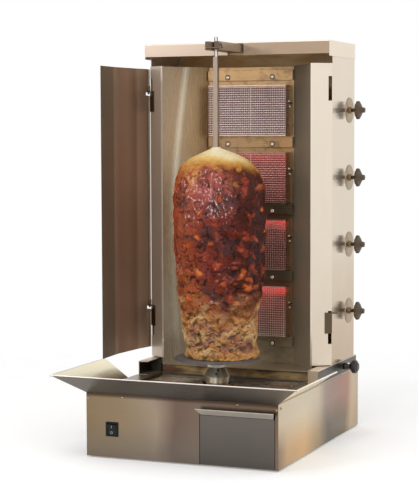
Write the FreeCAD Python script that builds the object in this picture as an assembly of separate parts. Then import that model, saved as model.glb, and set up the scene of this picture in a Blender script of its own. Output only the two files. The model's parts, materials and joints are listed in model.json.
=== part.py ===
import FreeCAD, Part
import math
import os

# Doner kebab grill for four gas burners, standing on a counter.
# Millimetres, +Z up, +X to the right as seen from the front, -Y towards the cook.
# The origin is on the counter, under the middle of the overall box.

# Overall sizes
BASE_W = 518.0
BASE_D = 660.0
BASE_H = 165.0
OVERALL_H = 1070.0
FOOT_H = 3.0
SHEET = 1.5
CLEAR = 0.3

# Catch tray
FLARE_FRONT = 67.5
FLARE_SIDE = 71.0
FLARE_UP = 50.5
WING_DEPTH = 248.0
TRAY_DEPTH = 379.0
PAN_MARGIN = 49.0
PAN_DEPTH = 18.0
HUB_HOLE_D = 78.0
LOUVRE_PITCH = 36.0
LOUVRE_RADIUS = 4.0

# Rails, deck and slide
RAIL_W = 28.0
RAIL_H = 38.0
RAIL_T = 2.0
RAIL_SETBACK = 2.0
RAIL_FRONT = 312.0
RAIL_END = 12.0
DECK_H = 19.0
DECK_FRONT = 392.0
SLIDE_FORWARD = 30.0
SLIDE_BACK = 45.0

# Burner column
COLUMN_FRONT = 381.0
COLUMN_W = 524.0
COLUMN_D = 227.0
COLUMN_LOW = 206.0
FLOOR_Z = 187.0
CAP_TOP = 1062.0
CAP_FRONT_H = 34.5
CAP_SIDE_H = 41.0
STRIP_TOP = 1003.0
CHAMFER_X = 45.0
CHAMFER_Y = 31.0
LIP_W = 5.0
RETURN_W = 15.0
PANEL_BACK = 121.0
PANEL_HALF = 126.0
PANEL_TOP = 1000.0

# Burners
BURNERS = 4
BURNER_PITCH = 182.0
BURNER_TOP = 881.5
PLAQUE_W = 106.0
PLAQUE_H = 126.0
PLAQUE_T = 13.0
PLAQUE_PROUD = 4.0
GUARD_W = 225.0
GUARD_H = 137.0
GUARD_D = 36.0
GUARD_T = 1.5
GUARD_COLUMNS = 6
GUARD_ROWS = 4
WIRE = 2.4
STRIP_H = 28.0
STRIP_D = 10.0
BURNER_BOX_D = 33.0
MIXER_D = 28.0

# Gas line and knobs
VALVE_BACK = 181.0
STEM_D = 10.0
STEM_TRAVEL = 3.0
PIPE_D = 16.0
PIPE_X = 215.0
PIPE_BACK = 211.0
DISC_D = 70.0
DISC_T = 2.0
KNOB_D = 50.0
KNOB_T = 9.0
KNOB_X = 282.0
NUB_D = 14.0
NUB_L = 15.0
KNOB_LOBES = 6

# Left door and hinges
DOOR_LOW = 228.0
DOOR_TOP = 997.0
DOOR_T = 1.5
HINGE_OUT = 9.5
HINGE_BACK = 39.0
PIN_D = 6.0
EAR_T = 3.0
EAR_Z = (346.0, 936.0)
SLOT_Z = ((262.0, 350.0), (905.0, 969.0))

# Spit
SPIT_BACK = 246.0
SPIT_SQUARE = 12.0
TIP_D = 9.6
TIP_L = 53.0
PLATE_D = 230.0
PLATE_T = 3.0
PLATE_Z = 234.5
MEAT_R = 128.0
MEAT_TOP = 785.0
HUB_D = 69.0
HUB_TOP_D = 41.0
HUB_LOW_D = 61.0
HUB_TOP = 211.0
SHAFT_D = 16.0
SOCKET_D = 18.0
SOCKET_L = 22.0

# Spit arm and latch
ARM_W = 40.0
ARM_H = 22.0
ARM_LOW = 1034.0
ARM_REACH = 26.0
ARM_L = 310.0
ARM_WALL = 2.0
FORK_W = 11.0
LATCH_ROD = 3.0

# Drawer
DRAWER_X0 = 53.5
DRAWER_GAP = 1.5
DRAWER_FACE_TOP = 128.0
DRAWER_L = 300.0
DRAWER_BOX_H = 110.0
LIP_UP = 18.0
LIP_OUT = 22.0
POST_W = 8.0

# Switch, clamp knob, motor
SWITCH_X = -187.0
SWITCH_Z = 75.0
SWITCH_W = 34.0
SWITCH_H = 37.0
ROCKER_TILT = 6.0
CLAMP_BACK = 542.0
CLAMP_Z = 184.0
CLAMP_D = 36.0
STUD_D = 8.0
SHOE_L = 50.0
MOTOR_D = 60.0
GEARBOX = 80.0
BRACKET_TOP = 118.0
SCREW_D = 8.0
SCREW_H = 2.4
SCREW_SIDES = 6
GLAND_OUT = 14.0

# Places worked out from the sizes above
FRONT = (FLARE_FRONT - BASE_D - GLAND_OUT) / 2
BACK = FRONT + BASE_D
HALF = BASE_W / 2
COL_HALF = COLUMN_W / 2
COL_Y = FRONT + COLUMN_FRONT
COL_BACK = COL_Y + COLUMN_D
PANEL_Y = COL_Y + PANEL_BACK
SPIT_Y = FRONT + SPIT_BACK
VALVE_Y = COL_Y + VALVE_BACK
PIPE_Y = COL_Y + PIPE_BACK
RAIL_OUT = HALF - RAIL_SETBACK
RAIL_IN = RAIL_OUT - RAIL_W
RAIL_TOP = BASE_H + RAIL_H
DECK_HALF = RAIL_IN - 8.0
PAN_HALF = RAIL_IN - 13.0
CLAMP_Y = FRONT + CLAMP_BACK
TRAY_Z = BASE_H + CLEAR
TRAY_BACK = FRONT + TRAY_DEPTH
HINGE_X = COL_HALF + HINGE_OUT
HINGE_Y = COL_Y + HINGE_BACK
BURNER_Z = [BURNER_TOP - BURNER_PITCH * i for i in range(BURNERS)]

V = FreeCAD.Vector
X_AXIS = V(1, 0, 0)
Y_AXIS = V(0, 1, 0)
Z_AXIS = V(0, 0, 1)


def box(x0, x1, y0, y1, z0, z1):
    return Part.makeBox(x1 - x0, y1 - y0, z1 - z0, V(x0, y0, z0))


def rod(start, axis, length, diameter):
    return Part.makeCylinder(diameter / 2, length, V(*start), axis)


def prism(points, direction):
    loop = [V(*p) for p in points]
    loop.append(loop[0])
    return Part.Face(Part.makePolygon(loop)).extrude(direction)


def fuse(shapes):
    whole = shapes[0]
    for shape in shapes[1:]:
        whole = whole.fuse(shape)
    return whole.removeSplitter()


def mirrored(shape):
    return shape.mirror(V(0, 0, 0), X_AXIS)


def group(shapes):
    return Part.makeCompound(shapes)


def save(name, shape):
    shape.exportStep("parts/" + name + ".step")


def offset_line(points, distance):
    """Points of an open polyline moved to its left by a distance, with mitred corners."""
    normals = []
    for a, b in zip(points, points[1:]):
        run = math.hypot(b[0] - a[0], b[1] - a[1])
        normals.append((-(b[1] - a[1]) / run, (b[0] - a[0]) / run))
    moved = []
    for i, p in enumerate(points):
        n0 = normals[max(i - 1, 0)]
        n1 = normals[min(i, len(normals) - 1)]
        share = 1.0 + n0[0] * n1[0] + n0[1] * n1[1]
        moved.append((p[0] + distance * (n0[0] + n1[0]) / share,
                      p[1] + distance * (n0[1] + n1[1]) / share))
    return moved


def folded(points, thickness, z0, z1):
    """Sheet folded along a plan polyline, standing from z0 to z1, its thickness to the left."""
    outline = list(points) + offset_line(points, thickness)[::-1]
    return prism([(x, y, z0) for x, y in outline], V(0, 0, z1 - z0))


def lathe(profile, x, y):
    """Solid turned about a vertical axis from (radius, z) points."""
    loop = [V(x + r, y, z) for r, z in profile]
    loop.append(loop[0])
    return Part.Face(Part.makePolygon(loop)).revolve(V(x, y, 0), Z_AXIS, 360)


def lathe_x(profile, y, z):
    """Solid turned about an axis along X from (x, radius) points."""
    loop = [V(x, y + r, z) for x, r in profile]
    loop.append(loop[0])
    return Part.Face(Part.makePolygon(loop)).revolve(V(0, y, z), X_AXIS, 360)


def flat_sided(axis, start, length, across, sides=6):
    """Bar with flats, of the given width across them, from a point along X or Y."""
    r = across / 2 / math.cos(math.pi / sides)
    corners = []
    for k in range(sides):
        u = r * math.cos(2 * math.pi * k / sides)
        w = r * math.sin(2 * math.pi * k / sides)
        offset = V(0, u, w) if axis.x else V(u, 0, w)
        corners.append(tuple(V(*start) + offset))
    return prism(corners, axis * length)


def screw_head(x, y, z, axis):
    """Low screw head with flats in place of its round edge, its seat at the given point."""
    return flat_sided(axis, (x, y, z), SCREW_H, SCREW_D, SCREW_SIDES)


os.makedirs("parts", exist_ok=True)

# Base casing: one folded sheet with both sides and the top, open below, in front and at the rear
pan_half = HALF - PAN_MARGIN
pan_front = FRONT + 35.0
pan_back = TRAY_BACK - 14.0
well = 4.0
rear_y = BACK - SHEET
casing = box(-HALF, HALF, FRONT + SHEET, rear_y, FOOT_H, BASE_H)
casing = casing.cut(box(-HALF + SHEET, HALF - SHEET, FRONT - 1, BACK, FOOT_H - 1, BASE_H - SHEET))
casing = casing.cut(box(-pan_half - well, pan_half + well, pan_front - well, pan_back + well,
                        BASE_H - 10, BASE_H + 10))
deck_y0 = FRONT + DECK_FRONT
deck_y1 = BACK - RAIL_END
DECK_LEDGE = 12.0
wire_x = DECK_HALF - DECK_LEDGE
wire_y0 = deck_y0 + DECK_LEDGE
wire_y1 = deck_y1 - DECK_LEDGE
casing = casing.cut(box(-wire_x, wire_x, wire_y0, wire_y1, BASE_H - 10, BASE_H + 10))
save("base_casing", casing)

# Rear panel of the base, with a bank of vent slots and the hole of the cable entry
VENTS = 5
VENT_PITCH = 14.0
VENT_H = 5.0
VENT_X = (60.0, 180.0)
VENT_LOW = FOOT_H + 40.0
GLAND_X = -150.0
GLAND_Z = 60.0
GLAND_D = 20.0
rear_panel = box(-HALF, HALF, rear_y, BACK, FOOT_H, BASE_H)
for i in range(VENTS):
    vent_z = VENT_LOW + VENT_PITCH * i
    rear_panel = rear_panel.cut(box(VENT_X[0], VENT_X[1], rear_y - 1, BACK + 1, vent_z, vent_z + VENT_H))
rear_panel = rear_panel.cut(rod((GLAND_X, rear_y - 1, GLAND_Z), Y_AXIS, SHEET + 2, GLAND_D))
save("base_rear_panel", rear_panel)

# Front panel with the drawer opening and the switch cut-out
drawer_x1 = HALF - POST_W - DRAWER_GAP
opening = box(DRAWER_X0 - DRAWER_GAP, drawer_x1 + DRAWER_GAP, FRONT - 1, FRONT + SHEET + 1,
              FOOT_H - 1, DRAWER_FACE_TOP + LIP_UP - 4.0)
front_panel = box(-HALF, HALF, FRONT, FRONT + SHEET, FOOT_H, BASE_H).cut(opening)
switch_body_w = SWITCH_W - 6.0
switch_body_h = SWITCH_H - 6.0
front_panel = front_panel.cut(box(SWITCH_X - switch_body_w / 2, SWITCH_X + switch_body_w / 2,
                                  FRONT - 1, FRONT + SHEET + 1,
                                  SWITCH_Z - switch_body_h / 2, SWITCH_Z + switch_body_h / 2))
save("base_front_panel", front_panel)

# Bottom plate, screwed up into the casing's sides
floor_top = FOOT_H + SHEET
save("base_bottom_plate", box(-HALF + SHEET, HALF - SHEET, FRONT + SHEET, BACK - SHEET, FOOT_H, floor_top))

# Four rubber feet
FOOT_D = 32.0
FOOT_INSET = 38.0
feet = []
for side in (-1, 1):
    for y in (FRONT + FOOT_INSET, BACK - FOOT_INSET):
        centre = V(side * (HALF - FOOT_INSET), y, 0)
        feet.append(Part.makeCone(FOOT_D / 2 - 2, FOOT_D / 2, FOOT_H, centre, Z_AXIS))
save("rubber_feet", group(feet))

# Raised deck behind the tray, a folded cover over the wiring space
deck_top = BASE_H + DECK_H
deck = box(-DECK_HALF, DECK_HALF, deck_y0, deck_y1, BASE_H, deck_top)
deck = deck.cut(box(-DECK_HALF + SHEET, DECK_HALF - SHEET, deck_y0 + SHEET, deck_y1 - SHEET,
                    BASE_H - 1, deck_top - SHEET))
save("rear_deck", deck)

# Slide rails: channels open towards the middle, their webs flush with the casing's sides
rail_y0 = FRONT + RAIL_FRONT
rail_y1 = BACK - RAIL_END
channel = [(RAIL_IN, BASE_H), (RAIL_OUT, BASE_H), (RAIL_OUT, RAIL_TOP), (RAIL_IN, RAIL_TOP),
           (RAIL_IN, RAIL_TOP - RAIL_T), (RAIL_OUT - RAIL_T, RAIL_TOP - RAIL_T),
           (RAIL_OUT - RAIL_T, BASE_H + RAIL_T), (RAIL_IN, BASE_H + RAIL_T)]
rail = prism([(x, rail_y0, z) for x, z in channel], V(0, rail_y1 - rail_y0, 0))
save("left_rail", mirrored(rail))
STOP_T = 2.0
stop_plate = box(RAIL_IN, RAIL_OUT, rail_y0 - STOP_T, rail_y0, BASE_H, RAIL_TOP)
slot_half = STUD_D / 2 + 0.6
slot_y0 = CLAMP_Y - SLIDE_FORWARD
slot_y1 = CLAMP_Y + SLIDE_BACK
clamp_slot = fuse([
    box(RAIL_OUT - 5, RAIL_OUT + 5, slot_y0, slot_y1, CLAMP_Z - slot_half, CLAMP_Z + slot_half),
    rod((RAIL_OUT - 5, slot_y0, CLAMP_Z), X_AXIS, 10, 2 * slot_half),
    rod((RAIL_OUT - 5, slot_y1, CLAMP_Z), X_AXIS, 10, 2 * slot_half)])
save("right_rail", fuse([rail, stop_plate]).cut(clamp_slot))

# Drawer runners: angles on the bottom plate, one under each edge of the drawer box
RUNNER_T = 3.0
RUNNER_W = 20.0
RUNNER_H = 30.0
runner_x0 = DRAWER_X0 + 4.5
runner_x1 = drawer_x1 - 4.5
runner_y0 = FRONT + 8.0
runner_y1 = runner_y0 + DRAWER_L
left_runner = fuse([
    box(runner_x0, runner_x0 + RUNNER_W, runner_y0, runner_y1, floor_top, floor_top + RUNNER_T),
    box(runner_x0, runner_x0 + 2.0, runner_y0, runner_y1, floor_top, floor_top + RUNNER_H)])
right_runner = fuse([
    box(runner_x1 - RUNNER_W, runner_x1, runner_y0, runner_y1, floor_top, floor_top + RUNNER_T),
    box(runner_x1 - 2.0, runner_x1, runner_y0, runner_y1, floor_top, floor_top + RUNNER_H)])
save("drawer_runners", group([left_runner, right_runner]))

# Drawer: an open folded box behind a front whose top edge is bent out as the grip
dx0 = runner_x0 + 2.0 + CLEAR
dx1 = runner_x1 - 2.0 - CLEAR
dz0 = floor_top + RUNNER_T + CLEAR
drawer_y0 = FRONT + SHEET
drawer_y1 = drawer_y0 + DRAWER_L
drawer_box = box(dx0, dx1, drawer_y0, drawer_y1, dz0, dz0 + DRAWER_BOX_H)
drawer_box = drawer_box.cut(box(dx0 + SHEET, dx1 - SHEET, drawer_y0 + SHEET, drawer_y1 - SHEET,
                                dz0 + SHEET, dz0 + DRAWER_BOX_H + 1))
save("drawer_box", drawer_box)
MITRE_IN = 3.0
MITRE_OUT = 6.0
face_line = [(FRONT + SHEET, FOOT_H + 1.0), (FRONT + SHEET, DRAWER_FACE_TOP),
             (FRONT + SHEET - LIP_OUT, DRAWER_FACE_TOP + LIP_UP)]
face_outline = face_line + offset_line(face_line, SHEET)[::-1]
drawer_front = prism([(DRAWER_X0 - MITRE_OUT, y, z) for y, z in face_outline],
                     V(drawer_x1 - DRAWER_X0 + 2 * MITRE_OUT, 0, 0))
lip_top = DRAWER_FACE_TOP + LIP_UP + SHEET
front_shape = [(DRAWER_X0, 0), (drawer_x1, 0), (drawer_x1, DRAWER_FACE_TOP - 1.0),
               (drawer_x1 - MITRE_IN, DRAWER_FACE_TOP), (drawer_x1 + MITRE_OUT, lip_top),
               (DRAWER_X0 - MITRE_OUT, lip_top), (DRAWER_X0 + MITRE_IN, DRAWER_FACE_TOP),
               (DRAWER_X0, DRAWER_FACE_TOP - 1.0)]
drawer_front = drawer_front.common(prism([(x, FRONT - 60, z) for x, z in front_shape], V(0, 80, 0)))
save("drawer_front", drawer_front)

# Mains switch: bezel with its body behind the panel, and the rocker on a pivot across the body
BEZEL_T = 3.0
SWITCH_DEEP = 22.0
ROCKER_T = 6.0
bezel = box(SWITCH_X - SWITCH_W / 2, SWITCH_X + SWITCH_W / 2, FRONT - BEZEL_T, FRONT,
            SWITCH_Z - SWITCH_H / 2, SWITCH_Z + SWITCH_H / 2)
bezel = bezel.makeFillet(1.2, [e for e in bezel.Edges if abs(e.CenterOfMass.y - (FRONT - BEZEL_T)) < 0.01])
body_half_w = switch_body_w / 2 - 0.2
body_half_h = switch_body_h / 2 - 0.2
switch_body = box(SWITCH_X - body_half_w, SWITCH_X + body_half_w, FRONT - 1, FRONT + SWITCH_DEEP,
                  SWITCH_Z - body_half_h, SWITCH_Z + body_half_h)
rocker_w = switch_body_w - 4.0
rocker_h = switch_body_h - 4.0
hole_half_w = rocker_w / 2 + 0.5
hole_half_h = rocker_h / 2 + 0.9
rocker_hole = box(SWITCH_X - hole_half_w, SWITCH_X + hole_half_w, FRONT - BEZEL_T - 1, FRONT + 9,
                  SWITCH_Z - hole_half_h, SWITCH_Z + hole_half_h)
save("switch_bezel", fuse([bezel, switch_body]).cut(rocker_hole))
pivot_y = FRONT + 3.0
rocker_side = [(pivot_y + 2.0, SWITCH_Z - rocker_h / 2), (pivot_y - ROCKER_T - 1.0, SWITCH_Z - rocker_h / 2),
               (pivot_y - ROCKER_T + 1.2, SWITCH_Z), (pivot_y - ROCKER_T - 1.0, SWITCH_Z + rocker_h / 2),
               (pivot_y + 2.0, SWITCH_Z + rocker_h / 2)]
rocker = prism([(SWITCH_X - rocker_w / 2, y, z) for y, z in rocker_side], V(rocker_w, 0, 0))
rocker.rotate(V(SWITCH_X, pivot_y, SWITCH_Z), X_AXIS, ROCKER_TILT)
save("rocker_switch", rocker)

# Mains cable entry: a nut and sleeve in the rear panel
GLAND_BORE = 9.0
GLAND_IN = 8.0
gland = fuse([
    rod((GLAND_X, rear_y - GLAND_IN, GLAND_Z), Y_AXIS, GLAND_IN + SHEET, GLAND_D - 0.4),
    Part.makeCone(GLAND_D / 2 + 4, GLAND_D / 2 - 2, GLAND_OUT, V(GLAND_X, BACK, GLAND_Z), Y_AXIS)])
save("mains_inlet_gland", gland.cut(rod((GLAND_X, BACK - 20, GLAND_Z), Y_AXIS, 60, GLAND_BORE)))

# Gear motor on its stand under the spit
STAND_T = 2.0
STAND_FOOT = 7.0
STAND_TOP_T = 3.0
stand_half = GEARBOX / 2 + 8.0
stand_y0 = SPIT_Y - stand_half
stand_y1 = SPIT_Y + stand_half
stand_in = stand_half - STAND_T
stand = box(-stand_half, stand_half, stand_y0, stand_y1, floor_top, BRACKET_TOP + STAND_TOP_T)
stand = stand.cut(box(-stand_in, stand_in, stand_y0 - 1, stand_y1 + 1, floor_top - 1, BRACKET_TOP))
stand = stand.cut(rod((0, SPIT_Y, BRACKET_TOP - 1), Z_AXIS, 6, SHAFT_D + 2))
foot = box(stand_in, stand_half + STAND_FOOT, stand_y0, stand_y1, floor_top, floor_top + STAND_T)
save("motor_bracket", fuse([stand, foot, mirrored(foot)]))
GEARBOX_H = 42.0
gear_low = BRACKET_TOP - GEARBOX_H
gear_motor = fuse([
    box(-GEARBOX / 2, GEARBOX / 2, SPIT_Y - GEARBOX / 2, SPIT_Y + GEARBOX / 2, gear_low, BRACKET_TOP),
    rod((0, SPIT_Y, gear_low - MOTOR_D), Z_AXIS, MOTOR_D, MOTOR_D)])
gear_motor = gear_motor.cut(rod((0, SPIT_Y, BRACKET_TOP - 18), Z_AXIS, 20, SHAFT_D + 2 * CLEAR))
save("gear_motor", gear_motor)

# Bearing sleeve on the stand, standing up inside the hub's skirt
SLEEVE_D = 42.0
sleeve_low = BRACKET_TOP + STAND_TOP_T
sleeve_top = HUB_TOP - SOCKET_L - 12.0
sleeve = fuse([
    rod((0, SPIT_Y, sleeve_low), Z_AXIS, 6.0, SLEEVE_D + 24.0),
    rod((0, SPIT_Y, sleeve_low), Z_AXIS, sleeve_top - sleeve_low, SLEEVE_D)])
save("hub_bearing", sleeve.cut(rod((0, SPIT_Y, sleeve_low - 1), Z_AXIS, 100, SHAFT_D + 2 * CLEAR)))

# Drive hub: a double cone with a hollow skirt, on the shaft that the gear motor turns
HUB_WIDE_UP = 21.0
HUB_DROP = 3.0
hub_wide_z = BASE_H + HUB_WIDE_UP
hub_low_z = BASE_H - HUB_DROP
hub = lathe([(0, hub_low_z), (HUB_LOW_D / 2, hub_low_z), (HUB_D / 2, hub_wide_z),
             (HUB_TOP_D / 2, HUB_TOP), (0, HUB_TOP)], 0, SPIT_Y)
hub = hub.cut(rod((0, SPIT_Y, hub_low_z - 1), Z_AXIS, sleeve_top + 2 - hub_low_z + 1, SLEEVE_D + 6))
shaft_low = BRACKET_TOP - 16.0
shaft = rod((0, SPIT_Y, shaft_low), Z_AXIS, HUB_TOP - SOCKET_L - 4 - shaft_low, SHAFT_D)
hub = hub.fuse(shaft).removeSplitter()
hub = hub.cut(rod((0, SPIT_Y, HUB_TOP - SOCKET_L), Z_AXIS, SOCKET_L + 1, SOCKET_D + 2 * CLEAR))
SCREW_HOLE_D = 6.0
for hole_z, hole_angle in ((HUB_TOP - 7.0, -60.0), (HUB_TOP - 16.0, -72.0)):
    aim = V(math.cos(math.radians(hole_angle)), math.sin(math.radians(hole_angle)), 0)
    hub = hub.cut(rod((0, SPIT_Y, hole_z), aim, HUB_D, SCREW_HOLE_D))
save("drive_hub", hub)

# Catch tray: flares on three sides, a flat rim on the base and a sunk pan with a drain over the drawer
rim_top = TRAY_Z + SHEET
flare_low = TRAY_Z
flare_high = TRAY_Z + FLARE_UP
wing_back = FRONT + WING_DEPTH
front_run = math.hypot(FLARE_FRONT, FLARE_UP)
side_run = math.hypot(FLARE_SIDE, FLARE_UP)


def frustum(inset):
    """Solid between the tray's low outline and its flared top, moved inwards by a sheet thickness."""
    low_x = HALF - inset * side_run / FLARE_UP
    low_y = FRONT + inset * front_run / FLARE_UP
    low = [V(-low_x, low_y, flare_low), V(low_x, low_y, flare_low),
           V(low_x, wing_back + 200, flare_low), V(-low_x, wing_back + 200, flare_low)]
    high_x = low_x + FLARE_SIDE
    high_y = low_y - FLARE_FRONT
    high = [V(-high_x, high_y, flare_high), V(high_x, high_y, flare_high),
            V(high_x, wing_back + 200, flare_high), V(-high_x, wing_back + 200, flare_high)]
    lower = Part.makePolygon(low + [low[0]])
    upper = Part.makePolygon(high + [high[0]])
    return Part.makeLoft([lower, upper], True, True)


shell = frustum(0.0).cut(frustum(SHEET))
shell = shell.common(box(-1000, 1000, -1000, wing_back, 0, 1000))
HEM_D = 4.0
hem_x = HALF + FLARE_SIDE - HEM_D / 2 - 0.5
hem_y = FRONT - FLARE_FRONT + HEM_D / 2 + 0.5
hem_z = flare_high - HEM_D / 2
hems = [rod((-hem_x, hem_y, hem_z), X_AXIS, 2 * hem_x, HEM_D),
        rod((-hem_x, hem_y, hem_z), Y_AXIS, wing_back - hem_y, HEM_D),
        rod((hem_x, hem_y, hem_z), Y_AXIS, wing_back - hem_y, HEM_D)]
rim = box(-HALF, HALF, FRONT, TRAY_BACK, TRAY_Z, rim_top)
rim = rim.cut(box(-pan_half, pan_half, pan_front, pan_back, TRAY_Z - 1, rim_top + 1))
rail_notch_y = rail_y0 - STOP_T - 1.0
for side in (-1, 1):
    a, b = sorted((side * (RAIL_IN - 1.0), side * (HALF + 1)))
    rim = rim.cut(box(a, b, rail_notch_y, TRAY_BACK + 1, TRAY_Z - 1, rim_top + 1))
pan_low = rim_top - PAN_DEPTH
pan = box(-pan_half - SHEET, pan_half + SHEET, pan_front - SHEET, pan_back + SHEET, pan_low, rim_top)
pan = pan.cut(box(-pan_half, pan_half, pan_front, pan_back, pan_low + SHEET, rim_top + 1))
collar_top = rim_top + 1.0
pan = pan.fuse(rod((0, SPIT_Y, pan_low), Z_AXIS, collar_top - pan_low, HUB_HOLE_D + 2 * SHEET))
pan = pan.cut(rod((0, SPIT_Y, pan_low - 1), Z_AXIS, collar_top - pan_low + 2, HUB_HOLE_D))
DRAIN_D = 26.0
drain_x = (DRAWER_X0 + drawer_x1) / 2
drain_y = SPIT_Y - 110.0
pan = pan.fuse(rod((drain_x, drain_y, pan_low - 8), Z_AXIS, 8, DRAIN_D + 2 * SHEET))
pan = pan.cut(rod((drain_x, drain_y, pan_low - 9), Z_AXIS, 12, DRAIN_D))
catch_tray = fuse([shell, rim, pan] + hems)
save("catch_tray", catch_tray)

# Strainer: a loose plate in the pan with rolled louvres on both sides of the hub
STRAINER_T = 1.5
strainer_z = pan_low + SHEET + 8.0
ledge = 1.0
sx = pan_half - ledge
sy0 = pan_front + ledge
sy1 = pan_back - ledge
strainer = box(-sx, sx, sy0, sy1, strainer_z, strainer_z + STRAINER_T)
skirt = box(-sx, sx, sy0, sy1, pan_low + SHEET, strainer_z)
skirt = skirt.cut(box(-sx + SHEET, sx - SHEET, sy0 + SHEET, sy1 - SHEET, 0, strainer_z + 1))
strainer = strainer.fuse(skirt)
ring = HUB_HOLE_D / 2 + SHEET + 4.0
louvre_x0 = ring + 8.0
louvre_x1 = sx - 18.0
LOUVRE_WALL = 1.2
HOOD = [(LOUVRE_RADIUS, 0.0), (0.75 * LOUVRE_RADIUS, 0.75 * LOUVRE_RADIUS), (0.0, LOUVRE_RADIUS)]
hoods = []
slots = []
louvre_y = sy0 + 16.0
while louvre_y + LOUVRE_RADIUS < sy1 - 12.0:
    hood_line = [(louvre_y + y, strainer_z + STRAINER_T + z) for y, z in HOOD]
    hood_outline = hood_line + offset_line(hood_line, LOUVRE_WALL)[::-1]
    for side in (-1, 1):
        a, b = sorted((side * louvre_x0, side * louvre_x1))
        hoods.append(prism([(a, y, z) for y, z in hood_outline], V(b - a, 0, 0)))
        slots.append(box(a + 1, b - 1, louvre_y - 2.0, louvre_y + LOUVRE_RADIUS - 2 * LOUVRE_WALL,
                         strainer_z - 1, strainer_z + STRAINER_T + 0.2))
    louvre_y += LOUVRE_PITCH
strainer = strainer.fuse(hoods).removeSplitter()
strainer = strainer.cut(slots)
strainer = strainer.cut(rod((0, SPIT_Y, 0), Z_AXIS, 400, 2 * ring))
save("tray_strainer", strainer)

# Column floor: a hat-shaped pan between the rails with flanges over them
plan = [(COL_HALF - CHAMFER_X - LIP_W, COL_Y), (COL_HALF - CHAMFER_X, COL_Y),
        (COL_HALF, COL_Y + CHAMFER_Y), (COL_HALF, COL_BACK), (COL_HALF - RETURN_W, COL_BACK)]
outline = plan[:4] + [(-x, y) for x, y in plan[:4]][::-1]
footprint = prism([(x, y, FLOOR_Z) for x, y in outline], V(0, 0, COLUMN_LOW - FLOOR_Z))
hat = box(-COL_HALF, COL_HALF, COL_Y, COL_BACK - SHEET, FLOOR_Z, COLUMN_LOW)
hat = hat.cut(box(-PAN_HALF + SHEET, PAN_HALF - SHEET, COL_Y - 1, COL_BACK, FLOOR_Z + SHEET, COLUMN_LOW + 1))
for side in (-1, 1):
    a, b = sorted((side * PAN_HALF, side * (COL_HALF + 1)))
    hat = hat.cut(box(a, b, COL_Y - 1, COL_BACK, FLOOR_Z - 1, COLUMN_LOW - SHEET))
save("column_floor_pan", hat.common(footprint))

# Slide shoes: nylon blocks in the rail channels, two a side, screwed to the pan
shoe_ys = (COL_Y + 9.0, CLAMP_Y - SHOE_L / 2)
shoes = []
for y0 in shoe_ys:
    shoe = fuse([
        box(RAIL_IN - 5.0, RAIL_OUT - RAIL_T - CLEAR, y0, y0 + SHOE_L,
            BASE_H + RAIL_T + CLEAR, RAIL_TOP - RAIL_T - CLEAR),
        box(PAN_HALF, RAIL_IN - 5.0, y0, y0 + SHOE_L, deck_top + 4.0, RAIL_TOP - RAIL_T - CLEAR)])
    shoes.append(mirrored(shoe))
    if y0 == shoe_ys[1]:
        shoe = shoe.cut(rod((RAIL_OUT - 20, CLAMP_Y, CLAMP_Z), X_AXIS, 40, STUD_D + 2 * CLEAR))
    shoes.append(shoe)
save("slide_shoes", group(shoes))

# Clamp knob: a mushroom head on a stud that runs in the right rail's slot
head_x = RAIL_OUT + 24.0
stud = rod((RAIL_OUT - 15, CLAMP_Y, CLAMP_Z), X_AXIS, head_x + 2 - (RAIL_OUT - 15), STUD_D)
washer_x = RAIL_OUT + CLEAR
grip_r = CLAMP_D / 2
neck_r = STUD_D / 2 + 2
head = lathe_x([(washer_x, 0), (washer_x, neck_r + 3), (washer_x + 3, neck_r + 3), (head_x - 9, neck_r),
                (head_x, grip_r), (head_x + 9, grip_r), (head_x + 15, grip_r - 8), (head_x + 15, 0)],
               CLAMP_Y, CLAMP_Z)
save("clamp_knob", fuse([stud, head]))

# Column sides: one folded sheet each, with the front lip, the slanted strip, the side and a rear return
side_top = CAP_TOP - 17.0
side_panel = folded(plan, SHEET, COLUMN_LOW, STRIP_TOP)
upper = folded(plan[2:], SHEET, STRIP_TOP - 1, side_top)
upper = upper.common(box(COL_HALF - 40, COL_HALF + 5, COL_Y + CHAMFER_Y + 4, COL_BACK + 5, 0, CAP_TOP))
side_panel = side_panel.fuse(upper).removeSplitter()
for z0, z1 in SLOT_Z:
    slot = box(COL_HALF - 9, COL_HALF + 2, COL_Y + CHAMFER_Y - 8, COL_Y + CHAMFER_Y + 1, z0, z1)
    side_panel = side_panel.cut(slot)
right_side = side_panel
for z in BURNER_Z:
    right_side = right_side.cut(rod((COL_HALF - 10, VALVE_Y, z), X_AXIS, 20, STEM_D + 2.0))
save("column_side_right", right_side)
save("column_side_left", mirrored(side_panel))

# Back panel with rows of vent slots and the gas inlet hole
INLET_Z = 236.0
back_y = COL_BACK - 2 * SHEET
back_panel = box(-COL_HALF + 7, COL_HALF - 7, back_y, back_y + SHEET, COLUMN_LOW, side_top - 5)
VENT_ROWS = 4
VENT_ROW_PITCH = 16.0
for bank_z in (COLUMN_LOW + 90.0, side_top - 160.0):
    for i in range(VENT_ROWS):
        vent_z = bank_z + VENT_ROW_PITCH * i
        back_panel = back_panel.cut(box(-150, -20, back_y - 5, back_y + 5, vent_z, vent_z + 5))
        back_panel = back_panel.cut(box(20, 150, back_y - 5, back_y + 5, vent_z, vent_z + 5))
back_panel = back_panel.cut(rod((PIPE_X, back_y - 5, INLET_Z), Y_AXIS, 10, PIPE_D + 1.0))
save("column_back_panel", back_panel)

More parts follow.
